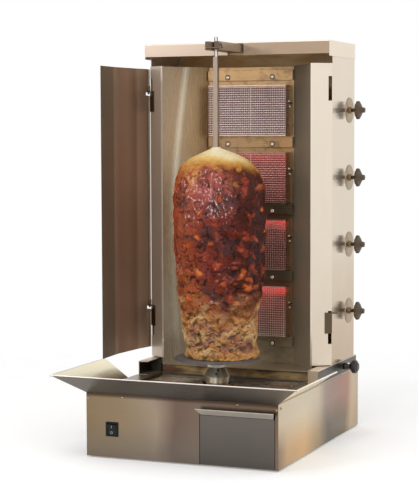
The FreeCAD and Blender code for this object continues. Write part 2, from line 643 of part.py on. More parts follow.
# Cap: a folded lid over the column, notched in front for the spit arm, which a bracket inside guides
cap_half = COL_HALF + SHEET
cap_y0 = COL_Y - 1.0
cap_y1 = COL_BACK + SHEET
cap_side_low = CAP_TOP - CAP_SIDE_H
cap_front_low = CAP_TOP - CAP_FRONT_H
cap = box(-cap_half, cap_half, cap_y0, cap_y1, cap_side_low, CAP_TOP)
cap = cap.makeChamfer(2.0, [e for e in cap.Edges if abs(e.CenterOfMass.z - CAP_TOP) < 0.01
                            and abs(e.CenterOfMass.y - cap_y0) < 0.01])
cap = cap.cut(box(-COL_HALF, COL_HALF, cap_y0 + SHEET, COL_BACK, cap_side_low - 1, CAP_TOP - SHEET))
cap = cap.cut(box(-COL_HALF, COL_HALF, cap_y0 - 1, cap_y0 + SHEET + 1, cap_side_low - 1, cap_front_low))
arm_notch = box(-ARM_W / 2 - 1.5, ARM_W / 2 + 4.0, cap_y0 - 1, cap_y0 + SHEET + 1,
                cap_side_low - 1, ARM_LOW + ARM_H + 2)
cap = cap.cut(arm_notch)
guide_y0 = cap_y0 + 12.0
guide_y1 = guide_y0 + 80.0
guide = box(-ARM_W / 2 - 3, ARM_W / 2 + 3, guide_y0, guide_y1, ARM_LOW - 3, CAP_TOP - SHEET)
guide = guide.cut(box(-ARM_W / 2 - CLEAR, ARM_W / 2 + CLEAR, guide_y0 - 1, guide_y1 + 1,
                      ARM_LOW - CLEAR, ARM_LOW + ARM_H + CLEAR))
save("column_cap", cap.fuse(guide).removeSplitter())

# Reflectors: polished sheets from the front lips back to the burner panel, each with one crease
REFLECTOR_T = 1.0
reflector_y0 = COL_Y + SHEET
crease = ((plan[0][0] + PANEL_HALF) / 2 + 3.5, (reflector_y0 + PANEL_Y) / 2 + 1.5)
refl = [(plan[0][0] + 0.2, reflector_y0), crease, (PANEL_HALF - 2.5, PANEL_Y)]
outer_line = offset_line(refl, -REFLECTOR_T)
outer_line[0] = (refl[0][0] + REFLECTOR_T * 1.25, reflector_y0)
outer_line[-1] = (refl[-1][0] + REFLECTOR_T * 1.25, PANEL_Y)
reflector_low = FLOOR_Z + SHEET
reflector = prism([(x, y, reflector_low) for x, y in refl + outer_line[::-1]],
                  V(0, 0, STRIP_TOP - 1 - reflector_low))
save("reflector_right", reflector)
save("reflector_left", mirrored(reflector))

# Burner panel with one window for each burner
cavity_half = PLAQUE_W + 1.3
window_half_h = PLAQUE_H / 2 + CLEAR
panel = box(-PANEL_HALF, PANEL_HALF, PANEL_Y, PANEL_Y + SHEET, FLOOR_Z + SHEET, PANEL_TOP)
SENSOR_X = PANEL_HALF - 8.0
SENSOR_UP = 20.0
SENSOR_D = 5.0
for z in BURNER_Z:
    panel = panel.cut(box(-cavity_half, cavity_half, PANEL_Y - 5, PANEL_Y + 5,
                          z - window_half_h, z + window_half_h))
    panel = panel.cut(rod((SENSOR_X, PANEL_Y - 5, z + SENSOR_UP), Y_AXIS, 10, SENSOR_D + 0.4))
save("burner_panel", panel)

# Burners: an open steel box behind each window, with its mixing tube across the back
plaque_y0 = PANEL_Y - PLAQUE_PROUD
plaque_y1 = plaque_y0 + PLAQUE_T
box_y0 = PANEL_Y + SHEET
box_y1 = box_y0 + BURNER_BOX_D
MIXER_MOUTH = PIPE_X - 67.0
MIXER_BLIND = -70.0
SEAT_T = 2.0
SEAT_W = 6.0
DUCT_HALF = 11.0
DUCT_L = 40.0
MIXER_WALL = 2.0
bodies = []
for z in BURNER_Z:
    shell_box = box(-cavity_half - SHEET, cavity_half + SHEET, box_y0, box_y1,
                    z - window_half_h - SHEET, z + window_half_h + SHEET)
    shell_box = shell_box.cut(box(-cavity_half, cavity_half, box_y0 - 1, box_y1 - SHEET,
                                  z - window_half_h, z + window_half_h))
    window_low = z - window_half_h
    window_high = z + window_half_h
    seat = box(-cavity_half, cavity_half, plaque_y1, plaque_y1 + SEAT_T, window_low, window_high)
    seat = seat.cut(box(-cavity_half + SEAT_W, cavity_half - SEAT_W, plaque_y1 - 1, plaque_y1 + SEAT_T + 1,
                        window_low + SEAT_W, window_high - SEAT_W))
    seat = seat.fuse(box(-SEAT_W / 2, SEAT_W / 2, plaque_y1, plaque_y1 + SEAT_T, window_low, window_high))
    duct = box(MIXER_BLIND, MIXER_BLIND + DUCT_L, box_y1 - 1, VALVE_Y, z - DUCT_HALF, z + DUCT_HALF)
    mixer = rod((MIXER_BLIND, VALVE_Y, z), X_AXIS, MIXER_MOUTH - MIXER_BLIND, MIXER_D)
    body = fuse([shell_box, seat, duct, mixer])
    mixer_bore = rod((MIXER_BLIND + DUCT_L / 2, VALVE_Y, z), X_AXIS, 400, MIXER_D - 2 * MIXER_WALL)
    bodies.append(body.cut(mixer_bore))
save("burner_bodies", group(bodies))

# Ceramic plaques, two in each burner, with a narrow joint in the middle
plaques = []
for z in BURNER_Z:
    for x0 in (-PLAQUE_W - 1.0, 1.0):
        plaques.append(box(x0, x0 + PLAQUE_W, plaque_y0, plaque_y1, z - PLAQUE_H / 2, z + PLAQUE_H / 2))
save("ceramic_plaques", group(plaques))

# Mesh guards: one holed face each, folded back at both sides, with feet on the burner panel
guard_y = PANEL_Y - GUARD_D


def net(width, height, columns, rows):
    """Flat net in the XZ plane from the origin, one face with its gaps, given the guard's thickness."""
    def loop(x0, x1, z0, z1):
        return Part.makePolygon([V(x0, 0, z0), V(x1, 0, z0), V(x1, 0, z1), V(x0, 0, z1), V(x0, 0, z0)])
    pitch_x = (width - WIRE) / columns
    pitch_z = (height - WIRE) / rows
    wires = [loop(0, width, 0, height)]
    for c in range(columns):
        for r in range(rows):
            x0 = WIRE + c * pitch_x
            z0 = WIRE + r * pitch_z
            wires.append(loop(x0, x0 + pitch_x - WIRE, z0, z0 + pitch_z - WIRE))
    return Part.makeFace(wires, "Part::FaceMakerBullseye").extrude(V(0, GUARD_T, 0))


for i, z in enumerate(BURNER_Z):
    face = net(GUARD_W, GUARD_H, GUARD_COLUMNS, GUARD_ROWS)
    face.translate(V(-GUARD_W / 2, guard_y, z - GUARD_H / 2))
    pieces = [face]
    for side in (-1, 1):
        flank = net(GUARD_D - GUARD_T, GUARD_H, 1, GUARD_ROWS)
        flank.rotate(V(0, 0, 0), Z_AXIS, 90)
        flank_x = side * GUARD_W / 2 + (GUARD_T if side < 0 else 0)
        flank.translate(V(flank_x, guard_y + GUARD_T, z - GUARD_H / 2))
        foot_x0 = side * GUARD_W / 2 - (8.0 if side < 0 else 0.0)
        foot = box(foot_x0, foot_x0 + 8.0, PANEL_Y - GUARD_T, PANEL_Y, z - GUARD_H / 2, z + GUARD_H / 2)
        foot = foot.cut(rod((SENSOR_X, PANEL_Y - 5, z + SENSOR_UP), Y_AXIS, 10, SENSOR_D + 3.0))
        pieces += [flank, foot]
    save("mesh_guard_%d" % (i + 1), fuse(pieces))

# Cover strips between the burners, shallow channels screwed to the panel
STRIP_GAP = 13.5
strip_lows = [BURNER_TOP + GUARD_H / 2 + STRIP_GAP - BURNER_PITCH * i for i in range(BURNERS + 1)]
strips = []
for strip_z in strip_lows:
    strip = box(-PANEL_HALF + 3, PANEL_HALF - 3, PANEL_Y - STRIP_D, PANEL_Y, strip_z, strip_z + STRIP_H)
    strips.append(strip.cut(box(-PANEL_HALF + 2, PANEL_HALF - 2, PANEL_Y - STRIP_D + SHEET, PANEL_Y + 1,
                                strip_z + SHEET, strip_z + STRIP_H - SHEET)))
save("burner_cover_strips", group(strips))

# Flame sensors beside each plaque, held by a nut on the panel
sensors = []
for z in BURNER_Z:
    probe = flat_sided(Y_AXIS, (SENSOR_X, PANEL_Y - 24, z + SENSOR_UP), 60, SENSOR_D - 0.8, 8)
    nut = flat_sided(Y_AXIS, (SENSOR_X, PANEL_Y + SHEET, z + SENSOR_UP), 6, SENSOR_D + 3.0)
    sensors.append(fuse([probe, nut]))
save("flame_sensors", group(sensors))

# Gas pipe: a riser behind the valves with its inlet through the back panel
pipe_low = INLET_Z
pipe_high = BURNER_Z[0] + 16.0
riser = rod((PIPE_X, PIPE_Y, pipe_low - PIPE_D / 2), Z_AXIS, pipe_high - pipe_low + PIPE_D / 2, PIPE_D)
inlet_end = COL_BACK + 27.0
inlet = rod((PIPE_X, PIPE_Y, INLET_Z), Y_AXIS, inlet_end - PIPE_Y, PIPE_D - 2)
NUT_ACROSS = 26.0
nut = flat_sided(Y_AXIS, (PIPE_X, COL_BACK - SHEET, INLET_Z), 9, NUT_ACROSS)
save("gas_pipe", fuse([riser, inlet, nut]))

# Gas valves: bodies from hexagon bar with the stem bore, a nose on the side panel, an injector in the
# mixing tube's mouth and a boss on the pipe
NOSE_L = 26.0
NOSE_ACROSS = 22.0
BARREL_ACROSS = 28.0
BARREL_BEHIND = 15.0
INJECTOR_ACROSS = 9.0
INJECTOR_IN = 4.0
BOSS_ACROSS = 13.0
STEM_BORE_L = 38.0
valve_face = COL_HALF - SHEET
nose_x = valve_face - NOSE_L
barrel_x = PIPE_X - BARREL_BEHIND
injector_x = MIXER_MOUTH - INJECTOR_IN
valves = []
for z in BURNER_Z:
    nose = flat_sided(X_AXIS, (nose_x, VALVE_Y, z), NOSE_L, NOSE_ACROSS)
    barrel = flat_sided(X_AXIS, (barrel_x, VALVE_Y, z), nose_x - barrel_x, BARREL_ACROSS)
    injector = flat_sided(X_AXIS, (injector_x, VALVE_Y, z), barrel_x - injector_x, INJECTOR_ACROSS)
    boss = flat_sided(Y_AXIS, (PIPE_X, VALVE_Y, z), PIPE_Y - PIPE_D / 2 - VALVE_Y, BOSS_ACROSS)
    stem_bore = rod((valve_face - STEM_BORE_L, VALVE_Y, z), X_AXIS, STEM_BORE_L + 1, STEM_D + 2 * CLEAR)
    valves.append(fuse([nose, barrel, injector, boss]).cut(stem_bore))
save("gas_valves", group(valves))

# Round plates on the side panel, each with an eight-sided nut round the stem
DISC_EDGE = 1.2
COLLAR_ACROSS = 17.0
COLLAR_L = 7.0
discs = []
for z in BURNER_Z:
    disc = fuse([
        Part.makeCone(DISC_D / 2, DISC_D / 2 - DISC_EDGE, DISC_T, V(COL_HALF, VALVE_Y, z), X_AXIS),
        flat_sided(X_AXIS, (COL_HALF, VALVE_Y, z), COLLAR_L, COLLAR_ACROSS, 8)])
    discs.append(disc.cut(rod((COL_HALF - 1, VALVE_Y, z), X_AXIS, COLLAR_L + 2, STEM_D + 4 * CLEAR)))
save("knob_discs", group(discs))

# Valve stems, which push in, and the scalloped knobs that turn on them: a wide rim, a cone and a nub
stem_in = valve_face - STEM_BORE_L + STEM_TRAVEL + CLEAR
stem_end = KNOB_X + 8.0
knob_r = KNOB_D / 2
cone_x = KNOB_X + KNOB_T
nub_x = cone_x + 6.0
nub_end = cone_x + NUB_L
LOBE_CUT_D = 17.0
lobe_r = knob_r + 4.5
for i, z in enumerate(BURNER_Z):
    save("valve_stem_%d" % (i + 1), rod((stem_in, VALVE_Y, z), X_AXIS, stem_end - stem_in, STEM_D))
    knob = lathe_x([(KNOB_X, 0), (KNOB_X, knob_r), (cone_x, knob_r), (nub_x, NUB_D / 2 + 3),
                    (nub_x, NUB_D / 2), (nub_end, NUB_D / 2 - 1), (nub_end, 0)], VALVE_Y, z)
    for k in range(KNOB_LOBES):
        turn = math.radians(360.0 / KNOB_LOBES * k)
        knob = knob.cut(rod((KNOB_X - 1, VALVE_Y + lobe_r * math.cos(turn), z + lobe_r * math.sin(turn)),
                            X_AXIS, KNOB_T + 4, LOBE_CUT_D))
    knob = knob.cut(rod((KNOB_X - 1, VALVE_Y, z), X_AXIS, stem_end + CLEAR - KNOB_X + 1,
                        STEM_D + 2 * CLEAR))
    save("gas_knob_%d" % (i + 1), knob)

# Hinge brackets: a plate on the slanted strip, a tab through the slot and an ear with the pin's hole
along = V(CHAMFER_X, CHAMFER_Y, 0).normalize()
outward = V(along.y, -along.x, 0)
corner = V(COL_HALF, COL_Y + CHAMFER_Y, 0)
BRACKET_H = 56.0
BRACKET_T = 2.0


def hinge_bracket(ear_z, slot):
    low = ear_z - BRACKET_H
    inner = corner - along * 20.0
    edge = corner - along * 0.5
    plate_points = [inner, edge, edge + outward * BRACKET_T, inner + outward * BRACKET_T]
    plate = prism([(p.x, p.y, low) for p in plate_points], V(0, 0, BRACKET_H))
    tab_low = max(low + 6, slot[0] + 2)
    tab_high = min(ear_z - 6, slot[1] - 2)
    tab_points = [corner - along * 6.0 + outward * 0.5, corner - along * 4.0 + outward * 0.5,
                  corner - along * 4.0 - outward * 6.0, corner - along * 6.0 - outward * 6.0]
    tab = prism([(p.x, p.y, tab_low) for p in tab_points], V(0, 0, tab_high - tab_low))
    reach = corner - along * 3.0
    ear_out = HINGE_X + 6
    ear_back = HINGE_Y + 6
    side_x = COL_HALF + 0.1
    ear_points = [reach, reach + outward * 3.0, V(ear_out, corner.y - 1, 0), V(ear_out, ear_back, 0),
                  V(side_x, ear_back, 0), V(side_x, corner.y, 0)]
    ear = prism([(p.x, p.y, ear_z - EAR_T) for p in ear_points], V(0, 0, EAR_T))
    bracket = fuse([plate, tab, ear])
    return bracket.cut(rod((HINGE_X, HINGE_Y, ear_z - 20), Z_AXIS, 40, PIN_D + 2 * CLEAR))


right_lower = hinge_bracket(EAR_Z[0], SLOT_Z[0]).cut(side_panel)
left_lower = mirrored(right_lower)
left_upper = mirrored(hinge_bracket(EAR_Z[1], SLOT_Z[1]).cut(side_panel))
save("hinge_brackets", group([left_lower, left_upper, right_lower]))

# Left door: one sheet in three facets, with hook pins that drop into the ears
FACETS = [(0.0, 0.0), (-9.5, -45.0), (-20.0, -156.0), (-15.0, -260.0)]
door_line = [(-HINGE_X + x - 2.0, HINGE_Y + y - 4.0) for x, y in FACETS]
door = folded(door_line, DOOR_T, DOOR_LOW, DOOR_TOP)
HOOK_H = 14.0
for ear_z in EAR_Z:
    hook = rod((-HINGE_X, HINGE_Y, ear_z + CLEAR), Z_AXIS, HOOK_H, PIN_D + 4)
    pin = rod((-HINGE_X, HINGE_Y, ear_z - EAR_T - 5), Z_AXIS, EAR_T + 6 + CLEAR, PIN_D)
    link = box(-HINGE_X - 3, -HINGE_X + 1, HINGE_Y - 7, HINGE_Y, ear_z + CLEAR, ear_z + CLEAR + HOOK_H)
    ear_room = box(-HINGE_X - 12, -HINGE_X + 12, HINGE_Y - 12, HINGE_Y + 12, ear_z - EAR_T - 8, ear_z + CLEAR)
    door = door.cut(ear_room)
    door = door.fuse([hook, pin, link])
save("left_door", door.removeSplitter())

# Spit arm: a box-section bar that slides in the cap, forked at its end round the spit's tip
arm_y0 = SPIT_Y - ARM_REACH
arm_y1 = arm_y0 + ARM_L
arm = box(-ARM_W / 2, ARM_W / 2, arm_y0, arm_y1, ARM_LOW, ARM_LOW + ARM_H)
block_end = SPIT_Y + 16.0
arm = arm.cut(box(-ARM_W / 2 + ARM_WALL, ARM_W / 2 - ARM_WALL, block_end, arm_y1 + 1,
                  ARM_LOW + ARM_WALL, ARM_LOW + ARM_H - ARM_WALL))
arm = arm.cut(box(-FORK_W / 2, FORK_W / 2, arm_y0 - 1, SPIT_Y, ARM_LOW - 1, ARM_LOW + ARM_H + 1))
arm = arm.cut(rod((0, SPIT_Y, ARM_LOW - 1), Z_AXIS, ARM_H + 2, FORK_W))
LATCH_PIVOT_Y = SPIT_Y - 12.0
LATCH_PIVOT_Z = ARM_LOW + 12.0
pivot_hole = rod((ARM_W / 2 - 8, LATCH_PIVOT_Y, LATCH_PIVOT_Z), X_AXIS, 10, 5.0 + 2 * CLEAR)
save("spit_arm", arm.cut(pivot_hole))

# Latch: a side lever whose bent rod closes the fork's mouth and swings up to free the spit
gate_y = arm_y0 - LATCH_ROD / 2 - 2.0
gate_z = ARM_LOW + 5.0
lever_x = ARM_W / 2 + CLEAR
lever_run = V(0, gate_y - LATCH_PIVOT_Y, gate_z - LATCH_PIVOT_Z)
lever_side = V(0, -lever_run.z, lever_run.y).normalize() * 3.5
pivot = V(lever_x, LATCH_PIVOT_Y, LATCH_PIVOT_Z)
lever_end = pivot + lever_run
end_side = lever_side * 0.6
lever_points = [pivot + lever_side, lever_end + end_side, lever_end - end_side, pivot - lever_side]
latch = fuse([
    prism([(p.x, p.y, p.z) for p in lever_points], V(2.5, 0, 0)),
    rod((lever_x, LATCH_PIVOT_Y, LATCH_PIVOT_Z), X_AXIS, 4.5, 14.0),
    rod((ARM_W / 2 - 7, LATCH_PIVOT_Y, LATCH_PIVOT_Z), X_AXIS, 8, 5.0),
    flat_sided(X_AXIS, (-ARM_W / 2 + 3, gate_y, gate_z), ARM_W - 3 + CLEAR + 2.5, LATCH_ROD, 8)])
save("spit_latch", latch)

# Spit rod: square bar, turned down at both ends
plate_top = PLATE_Z + PLATE_T
square_low = PLATE_Z - 4.0
square_top = OVERALL_H - TIP_L
half_sq = SPIT_SQUARE / 2
spigot_low = HUB_TOP - SOCKET_L + CLEAR
spit = fuse([
    box(-half_sq, half_sq, SPIT_Y - half_sq, SPIT_Y + half_sq, square_low, square_top),
    rod((0, SPIT_Y, spigot_low), Z_AXIS, square_low - spigot_low, SOCKET_D),
    rod((0, SPIT_Y, square_top), Z_AXIS, TIP_L - 3, TIP_D),
    Part.makeCone(TIP_D / 2, TIP_D / 4, 3, V(0, SPIT_Y, OVERALL_H - 3), Z_AXIS)])
save("spit_rod", spit)

# Meat plate: a dished disc welded to a stepped collar that stands on the hub
collar_low = HUB_TOP + CLEAR
RIM_DROP = 2.5
plate_r = PLATE_D / 2
plate = lathe([(0, collar_low), (26, collar_low), (26, collar_low + 6), (17, PLATE_Z),
               (plate_r - 8, PLATE_Z), (plate_r - 1, PLATE_Z - RIM_DROP), (plate_r, PLATE_Z - RIM_DROP + 1),
               (plate_r - 7, plate_top), (0, plate_top)], 0, SPIT_Y)
save("meat_plate", plate.cut(spit))

# Meat: a stacked cone of slices on the spit, rounded at the top
height = MEAT_TOP - plate_top
SHAPE = [(0.0, 0.80), (0.05, 0.835), (0.16, 0.87), (0.30, 0.95), (0.45, 0.99), (0.62, 1.0), (0.76, 0.97),
         (0.86, 0.88), (0.93, 0.70), (0.975, 0.45), (1.0, 0.20)]
MEAT_BANDS = 14
curve = Part.BSplineCurve()
curve.interpolate([V(MEAT_R * r, 0, plate_top + height * t) for t, r in SHAPE])
skin = [(p.x, p.z) for p in curve.discretize(MEAT_BANDS + 1)]
meat = lathe([(0, skin[0][1])] + skin + [(0, skin[-1][1])], 0, SPIT_Y)
save("meat_cone", meat.cut(spit))

# Screws that show: base front and sides, cap sides, cover strips
TOP_SCREW_X = (-158.0, 153.0)
EDGE_SCREW_IN = 5.0
EDGE_SCREW_DOWN = 13.0
SIDE_SCREW_BACK = 18.0
base_screws = [screw_head(x, FRONT, BASE_H - 7, -Y_AXIS) for x in TOP_SCREW_X]
for side in (-1, 1):
    base_screws.append(screw_head(side * (HALF - EDGE_SCREW_IN), FRONT, BASE_H - EDGE_SCREW_DOWN, -Y_AXIS))
    base_screws.append(screw_head(side * HALF, FRONT + SIDE_SCREW_BACK, BASE_H - EDGE_SCREW_DOWN + 1,
                                  X_AXIS * side))
save("base_screws", group(base_screws))
CAP_SCREW_IN = 12.0
CAP_SCREW_DOWN = 24.0
column_screws = []
for y in (cap_y0 + CAP_SCREW_IN, cap_y1 - CAP_SCREW_IN):
    for side in (-1, 1):
        column_screws.append(screw_head(side * cap_half, y, CAP_TOP - CAP_SCREW_DOWN, X_AXIS * side))
STRIP_SCREW_X = 65.0
STRIP_SCREW_UP = 9.0
for strip_z in strip_lows:
    for x in (-STRIP_SCREW_X, STRIP_SCREW_X):
        column_screws.append(screw_head(x, PANEL_Y - STRIP_D, strip_z + STRIP_SCREW_UP, -Y_AXIS))
save("column_screws", group(column_screws))
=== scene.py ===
import json
import math

import bmesh
import bpy
import numpy as np
from mathutils import Matrix, Vector, noise
from mathutils.kdtree import KDTree

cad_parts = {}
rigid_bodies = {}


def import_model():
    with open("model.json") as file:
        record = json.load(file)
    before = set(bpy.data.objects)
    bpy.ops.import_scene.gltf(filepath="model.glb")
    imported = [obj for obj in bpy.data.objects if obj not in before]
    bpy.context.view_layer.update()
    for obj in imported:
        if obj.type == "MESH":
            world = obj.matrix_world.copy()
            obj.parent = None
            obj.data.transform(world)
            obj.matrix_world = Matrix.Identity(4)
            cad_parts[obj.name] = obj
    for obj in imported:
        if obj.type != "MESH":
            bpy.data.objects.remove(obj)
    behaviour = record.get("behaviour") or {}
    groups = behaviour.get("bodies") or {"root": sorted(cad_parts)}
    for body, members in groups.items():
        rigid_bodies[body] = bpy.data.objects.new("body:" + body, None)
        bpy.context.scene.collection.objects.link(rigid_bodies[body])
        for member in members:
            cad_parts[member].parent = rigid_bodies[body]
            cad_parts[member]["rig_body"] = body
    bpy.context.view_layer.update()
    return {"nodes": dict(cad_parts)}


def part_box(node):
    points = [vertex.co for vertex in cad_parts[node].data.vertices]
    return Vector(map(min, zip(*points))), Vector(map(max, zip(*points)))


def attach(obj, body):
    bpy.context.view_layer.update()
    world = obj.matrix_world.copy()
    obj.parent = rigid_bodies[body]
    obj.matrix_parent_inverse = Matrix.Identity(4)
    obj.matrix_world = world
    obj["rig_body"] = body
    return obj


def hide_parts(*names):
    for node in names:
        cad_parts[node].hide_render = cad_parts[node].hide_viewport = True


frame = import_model()

# Camera: a long lens at eye height, a little to the right of the grill and tipped slightly down,
# fitted together with the object's own corners.
CAMERA_AT = (1.5331, -3.8446, 0.8227)
CAMERA_YAW = math.radians(22.316)
CAMERA_DOWN = math.radians(4.279)
CAMERA_ROLL = math.radians(-0.189)
forward = Vector((-math.sin(CAMERA_YAW) * math.cos(CAMERA_DOWN),
                  math.cos(CAMERA_YAW) * math.cos(CAMERA_DOWN), -math.sin(CAMERA_DOWN)))
level = Vector((math.cos(CAMERA_YAW), math.sin(CAMERA_YAW), 0))
upright = level.cross(forward)
right = level * math.cos(CAMERA_ROLL) + upright * math.sin(CAMERA_ROLL)
up = upright * math.cos(CAMERA_ROLL) - level * math.sin(CAMERA_ROLL)
lens = bpy.data.cameras.new("viewpoint")
lens.lens = 113.14
lens.sensor_width = 36.0
viewpoint = bpy.data.objects.new("viewpoint", lens)
viewpoint.matrix_world = Matrix.Translation(CAMERA_AT) @ Matrix((right, up, -forward)).transposed().to_4x4()
bpy.context.scene.collection.objects.link(viewpoint)
bpy.context.scene.camera = viewpoint

# Base casing, rear panel and bottom plate: 1.5 mm brushed stainless sheet, folded up at the sides.
# The steel has picked up warm stains, and its brush lines run along each sheet.


class Wire:
    """One socket of a material's node tree; arithmetic on it adds Math nodes."""

    def __init__(self, finish, socket):
        self.finish = finish
        self.socket = socket

    def math(self, operation, *values):
        return self.finish.node("ShaderNodeMath", {"operation": operation}, dict(enumerate(values)))

    def __add__(self, other):
        return self.math("ADD", self, other)

    def __radd__(self, other):
        return self.math("ADD", other, self)

    def __sub__(self, other):
        return self.math("SUBTRACT", self, other)

    def __rsub__(self, other):
        return self.math("SUBTRACT", other, self)

    def __mul__(self, other):
        return self.math("MULTIPLY", self, other)

    def __rmul__(self, other):
        return self.math("MULTIPLY", other, self)

    def __truediv__(self, other):
        return self.math("DIVIDE", self, other)

    def __pow__(self, other):
        return self.math("POWER", self, other)

    def __gt__(self, other):
        return self.math("GREATER_THAN", self, other)

    def __abs__(self):
        return self.math("ABSOLUTE", self)

    def held(self, low=0.0, high=1.0):
        return self.finish.node("ShaderNodeClamp", {}, {"Value": self, "Min": low, "Max": high})

    def between(self, low, high):
        """0 at the low value, 1 at the high one, and held there."""
        return ((self - low) / (high - low)).held()


class Finish:
    """A material of procedural nodes round one shader; what is the same all over is set on the shader."""

    def __init__(self, name, **shader):
        self.material = bpy.data.materials.new(name)
        self.material.use_nodes = True
        self.tree = self.material.node_tree
        self.shader = self.tree.nodes["Principled BSDF"]
        for socket, value in shader.items():
            self.shader.inputs[socket.replace("_", " ")].default_value = value
        self.spot = self.node("ShaderNodeTexCoord", {}, {}, 3)
        self.facing = self.node("ShaderNodeTexCoord", {}, {}, 1)

    def node(self, kind, settings, sockets, output=0):
        made = self.tree.nodes.new(kind)
        for key, value in settings.items():
            if key == "stops":
                ramp = made.color_ramp.elements
                ramp[0].position, ramp[1].position = value[0][0], value[-1][0]
                for place, _ in value[1:-1]:
                    ramp.new(place)
                for stop, (_, colour) in zip(ramp, value):
                    stop.color = colour
            else:
                setattr(made, key, value)
        for key, value in sockets.items():
            if isinstance(value, Wire):
                self.tree.links.new(value.socket, made.inputs[key])
            else:
                flat = getattr(made.inputs[key].default_value, "__len__", None)
                made.inputs[key].default_value = value[:flat()] if flat else value
        return Wire(self, made.outputs[output])

    def drive(self, socket, wire):
        self.tree.links.new(wire.socket, self.shader.inputs[socket])

    def part(self, vector, axis):
        return self.node("ShaderNodeSeparateXYZ", {}, {0: vector}, "XYZ".index(axis))

    def along(self, axis):
        return self.part(self.spot, axis)

    def speckle(self, scale, stretch=(1, 1, 1), detail=2.0):
        """Soft noise from 0 to 1 with about so many patches a metre, drawn out along the axes."""
        place = self.node("ShaderNodeVectorMath", {"operation": "MULTIPLY"}, {0: self.spot, 1: stretch})
        return self.node("ShaderNodeTexNoise", {}, {"Vector": place, "Scale": scale, "Detail": detail})

    def mixed(self, share, a, b, blend="MIX"):
        return self.node("ShaderNodeMix", {"data_type": "RGBA", "blend_type": blend}, {0: share, 6: a, 7: b}, 2)

    def scaled(self, colour, amount):
        return self.node("ShaderNodeVectorMath", {"operation": "SCALE"}, {0: colour, "Scale": amount})

    def ramp(self, wire, stops):
        return self.node("ShaderNodeValToRGB", {"stops": stops}, {0: wire})

    def bump(self, height, depth):
        self.drive("Normal", self.node("ShaderNodeBump", {}, {"Height": height, "Distance": depth}))

    def give(self, *nodes):
        for node in nodes:
            for place in frame["nodes"][node].material_slots:
                place.material = self.material


def tone(r, g, b):
    """A colour from its screen values of 0 to 255."""
    return tuple((v / 255 / 12.92 if v < 10.3 else ((v / 255 + 0.055) / 1.055) ** 2.4) for v in (r, g, b)) + (1.0,)


def painted_light_by_side(finish, right, left, front, back, top, under):
    """Painted light and reflection: a colour for each way that the metal faces, blended round its bends."""
    x, y, z = (finish.part(finish.facing, axis) for axis in "XYZ")
    sideways = finish.mixed(x > 0.0, left, right)
    lengthways = finish.mixed(y > 0.0, front, back)
    flat = finish.mixed(z > 0.0, under, top)
    round_plan = finish.mixed(x * x / (x * x + y * y + 0.0001), lengthways, sideways)
    return finish.mixed(z * z, round_plan, flat)


BRUSH = {"x": (14, 1000, 1000), "y": (1000, 14, 1000), "z": (1000, 1000, 14)}


def brushed(finish, colour, grain="x", rough=0.33, stains=1.0):
    """Lines of the brush, cloudy stains and rubbed smears over a colour, in tone, gloss and relief."""
    lines = finish.speckle(1.0, BRUSH[grain], 3.0)
    cloud = finish.speckle(4.5, (1, 1, 1.4), 3.0)
    smear = finish.speckle(19.0, tuple(0.35 if axis == grain else 1.0 for axis in "xyz"), 4.0)
    shade = 1.0 + (lines - 0.5) * 0.1 + (cloud - 0.5) * (0.36 * stains) + (smear - 0.5) * (0.22 * stains)
    warm = finish.mixed((cloud - 0.45) * (0.9 * stains), (1, 1, 1, 1), tone(255, 236, 205))
    finish.drive("Base Color", finish.scaled(finish.mixed(1.0, colour, warm, "MULTIPLY"), shade))
    finish.drive("Roughness", rough + (lines - 0.5) * 0.16 + (smear - 0.5) * (0.2 * stains))
    finish.bump(lines * 0.6 + smear * 0.4, 0.00012)
    return finish


def body_of(node):
    return frame["nodes"][node]["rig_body"]


def shown(name, shape, finish, body, replaces=(), corner=32.0):
    """A mesh object from a bmesh, smooth but for its corners, that rides on a body."""
    mesh = bpy.data.meshes.new(name)
    shape.to_mesh(mesh)
    shape.free()
    mesh.materials.append(finish.material)
    mesh.shade_smooth()
    mesh.set_sharp_from_angle(angle=math.radians(corner))
    piece = bpy.data.objects.new(name, mesh)
    bpy.context.scene.collection.objects.link(piece)
    piece.modifiers.new("true_flats", "WEIGHTED_NORMAL").keep_sharp = True
    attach(piece, body)
    if replaces:
        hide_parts(*replaces)
    return piece


def formed(node, finish, edge=0.45, fold=24.0):
    """The node's sheet with its facets joined and its edges and folds rounded, shown in its place."""
    shape = bmesh.new()
    shape.from_mesh(frame["nodes"][node].data)
    bmesh.ops.remove_doubles(shape, verts=shape.verts, dist=1e-5)
    bmesh.ops.dissolve_limit(shape, angle_limit=math.radians(0.4), verts=shape.verts, edges=shape.edges)
    sharp = [e for e in shape.edges if e.is_manifold and e.calc_face_angle() > math.radians(fold)]
    bmesh.ops.bevel(shape, geom=sharp, offset=edge / 1000, segments=2, profile=0.6, affect="EDGES",
                    clamp_overlap=True)
    return shown(node + "_sheet", shape, finish, body_of(node), (node,))


casing_steel = Finish("casing_steel", Metallic=1.0)
height = casing_steel.along("Z") + (casing_steel.speckle(9.0) - 0.5) * 0.03
run = (casing_steel.along("Y") + (casing_steel.speckle(7.0) - 0.5) * 0.06).between(-0.303, 0.357)
# Painted reflection: lighter and darker bands along the casing's sides, one set high and one low, blended by height.
high_reflection_bands = casing_steel.ramp(run, [
    (0.0, tone(212, 194, 168)), (0.3, tone(226, 210, 182)), (0.47, tone(214, 196, 170)), (0.57, tone(168, 146, 130)),
    (0.72, tone(170, 128, 108)), (0.85, tone(176, 122, 98)), (0.91, tone(208, 184, 152)), (1.0, tone(200, 178, 148))])
low_reflection_bands = casing_steel.ramp(run, [
    (0.0, tone(150, 126, 108)), (0.1, tone(206, 174, 132)), (0.3, tone(228, 190, 136)), (0.5, tone(178, 154, 118)),
    (0.58, tone(112, 102, 90)), (0.7, tone(118, 104, 84)), (0.82, tone(126, 104, 74)), (0.89, tone(206, 176, 136)),
    (1.0, tone(190, 166, 132))])
side_reflection_bands = casing_steel.mixed(height.between(0.05, 0.115), low_reflection_bands, high_reflection_bands)
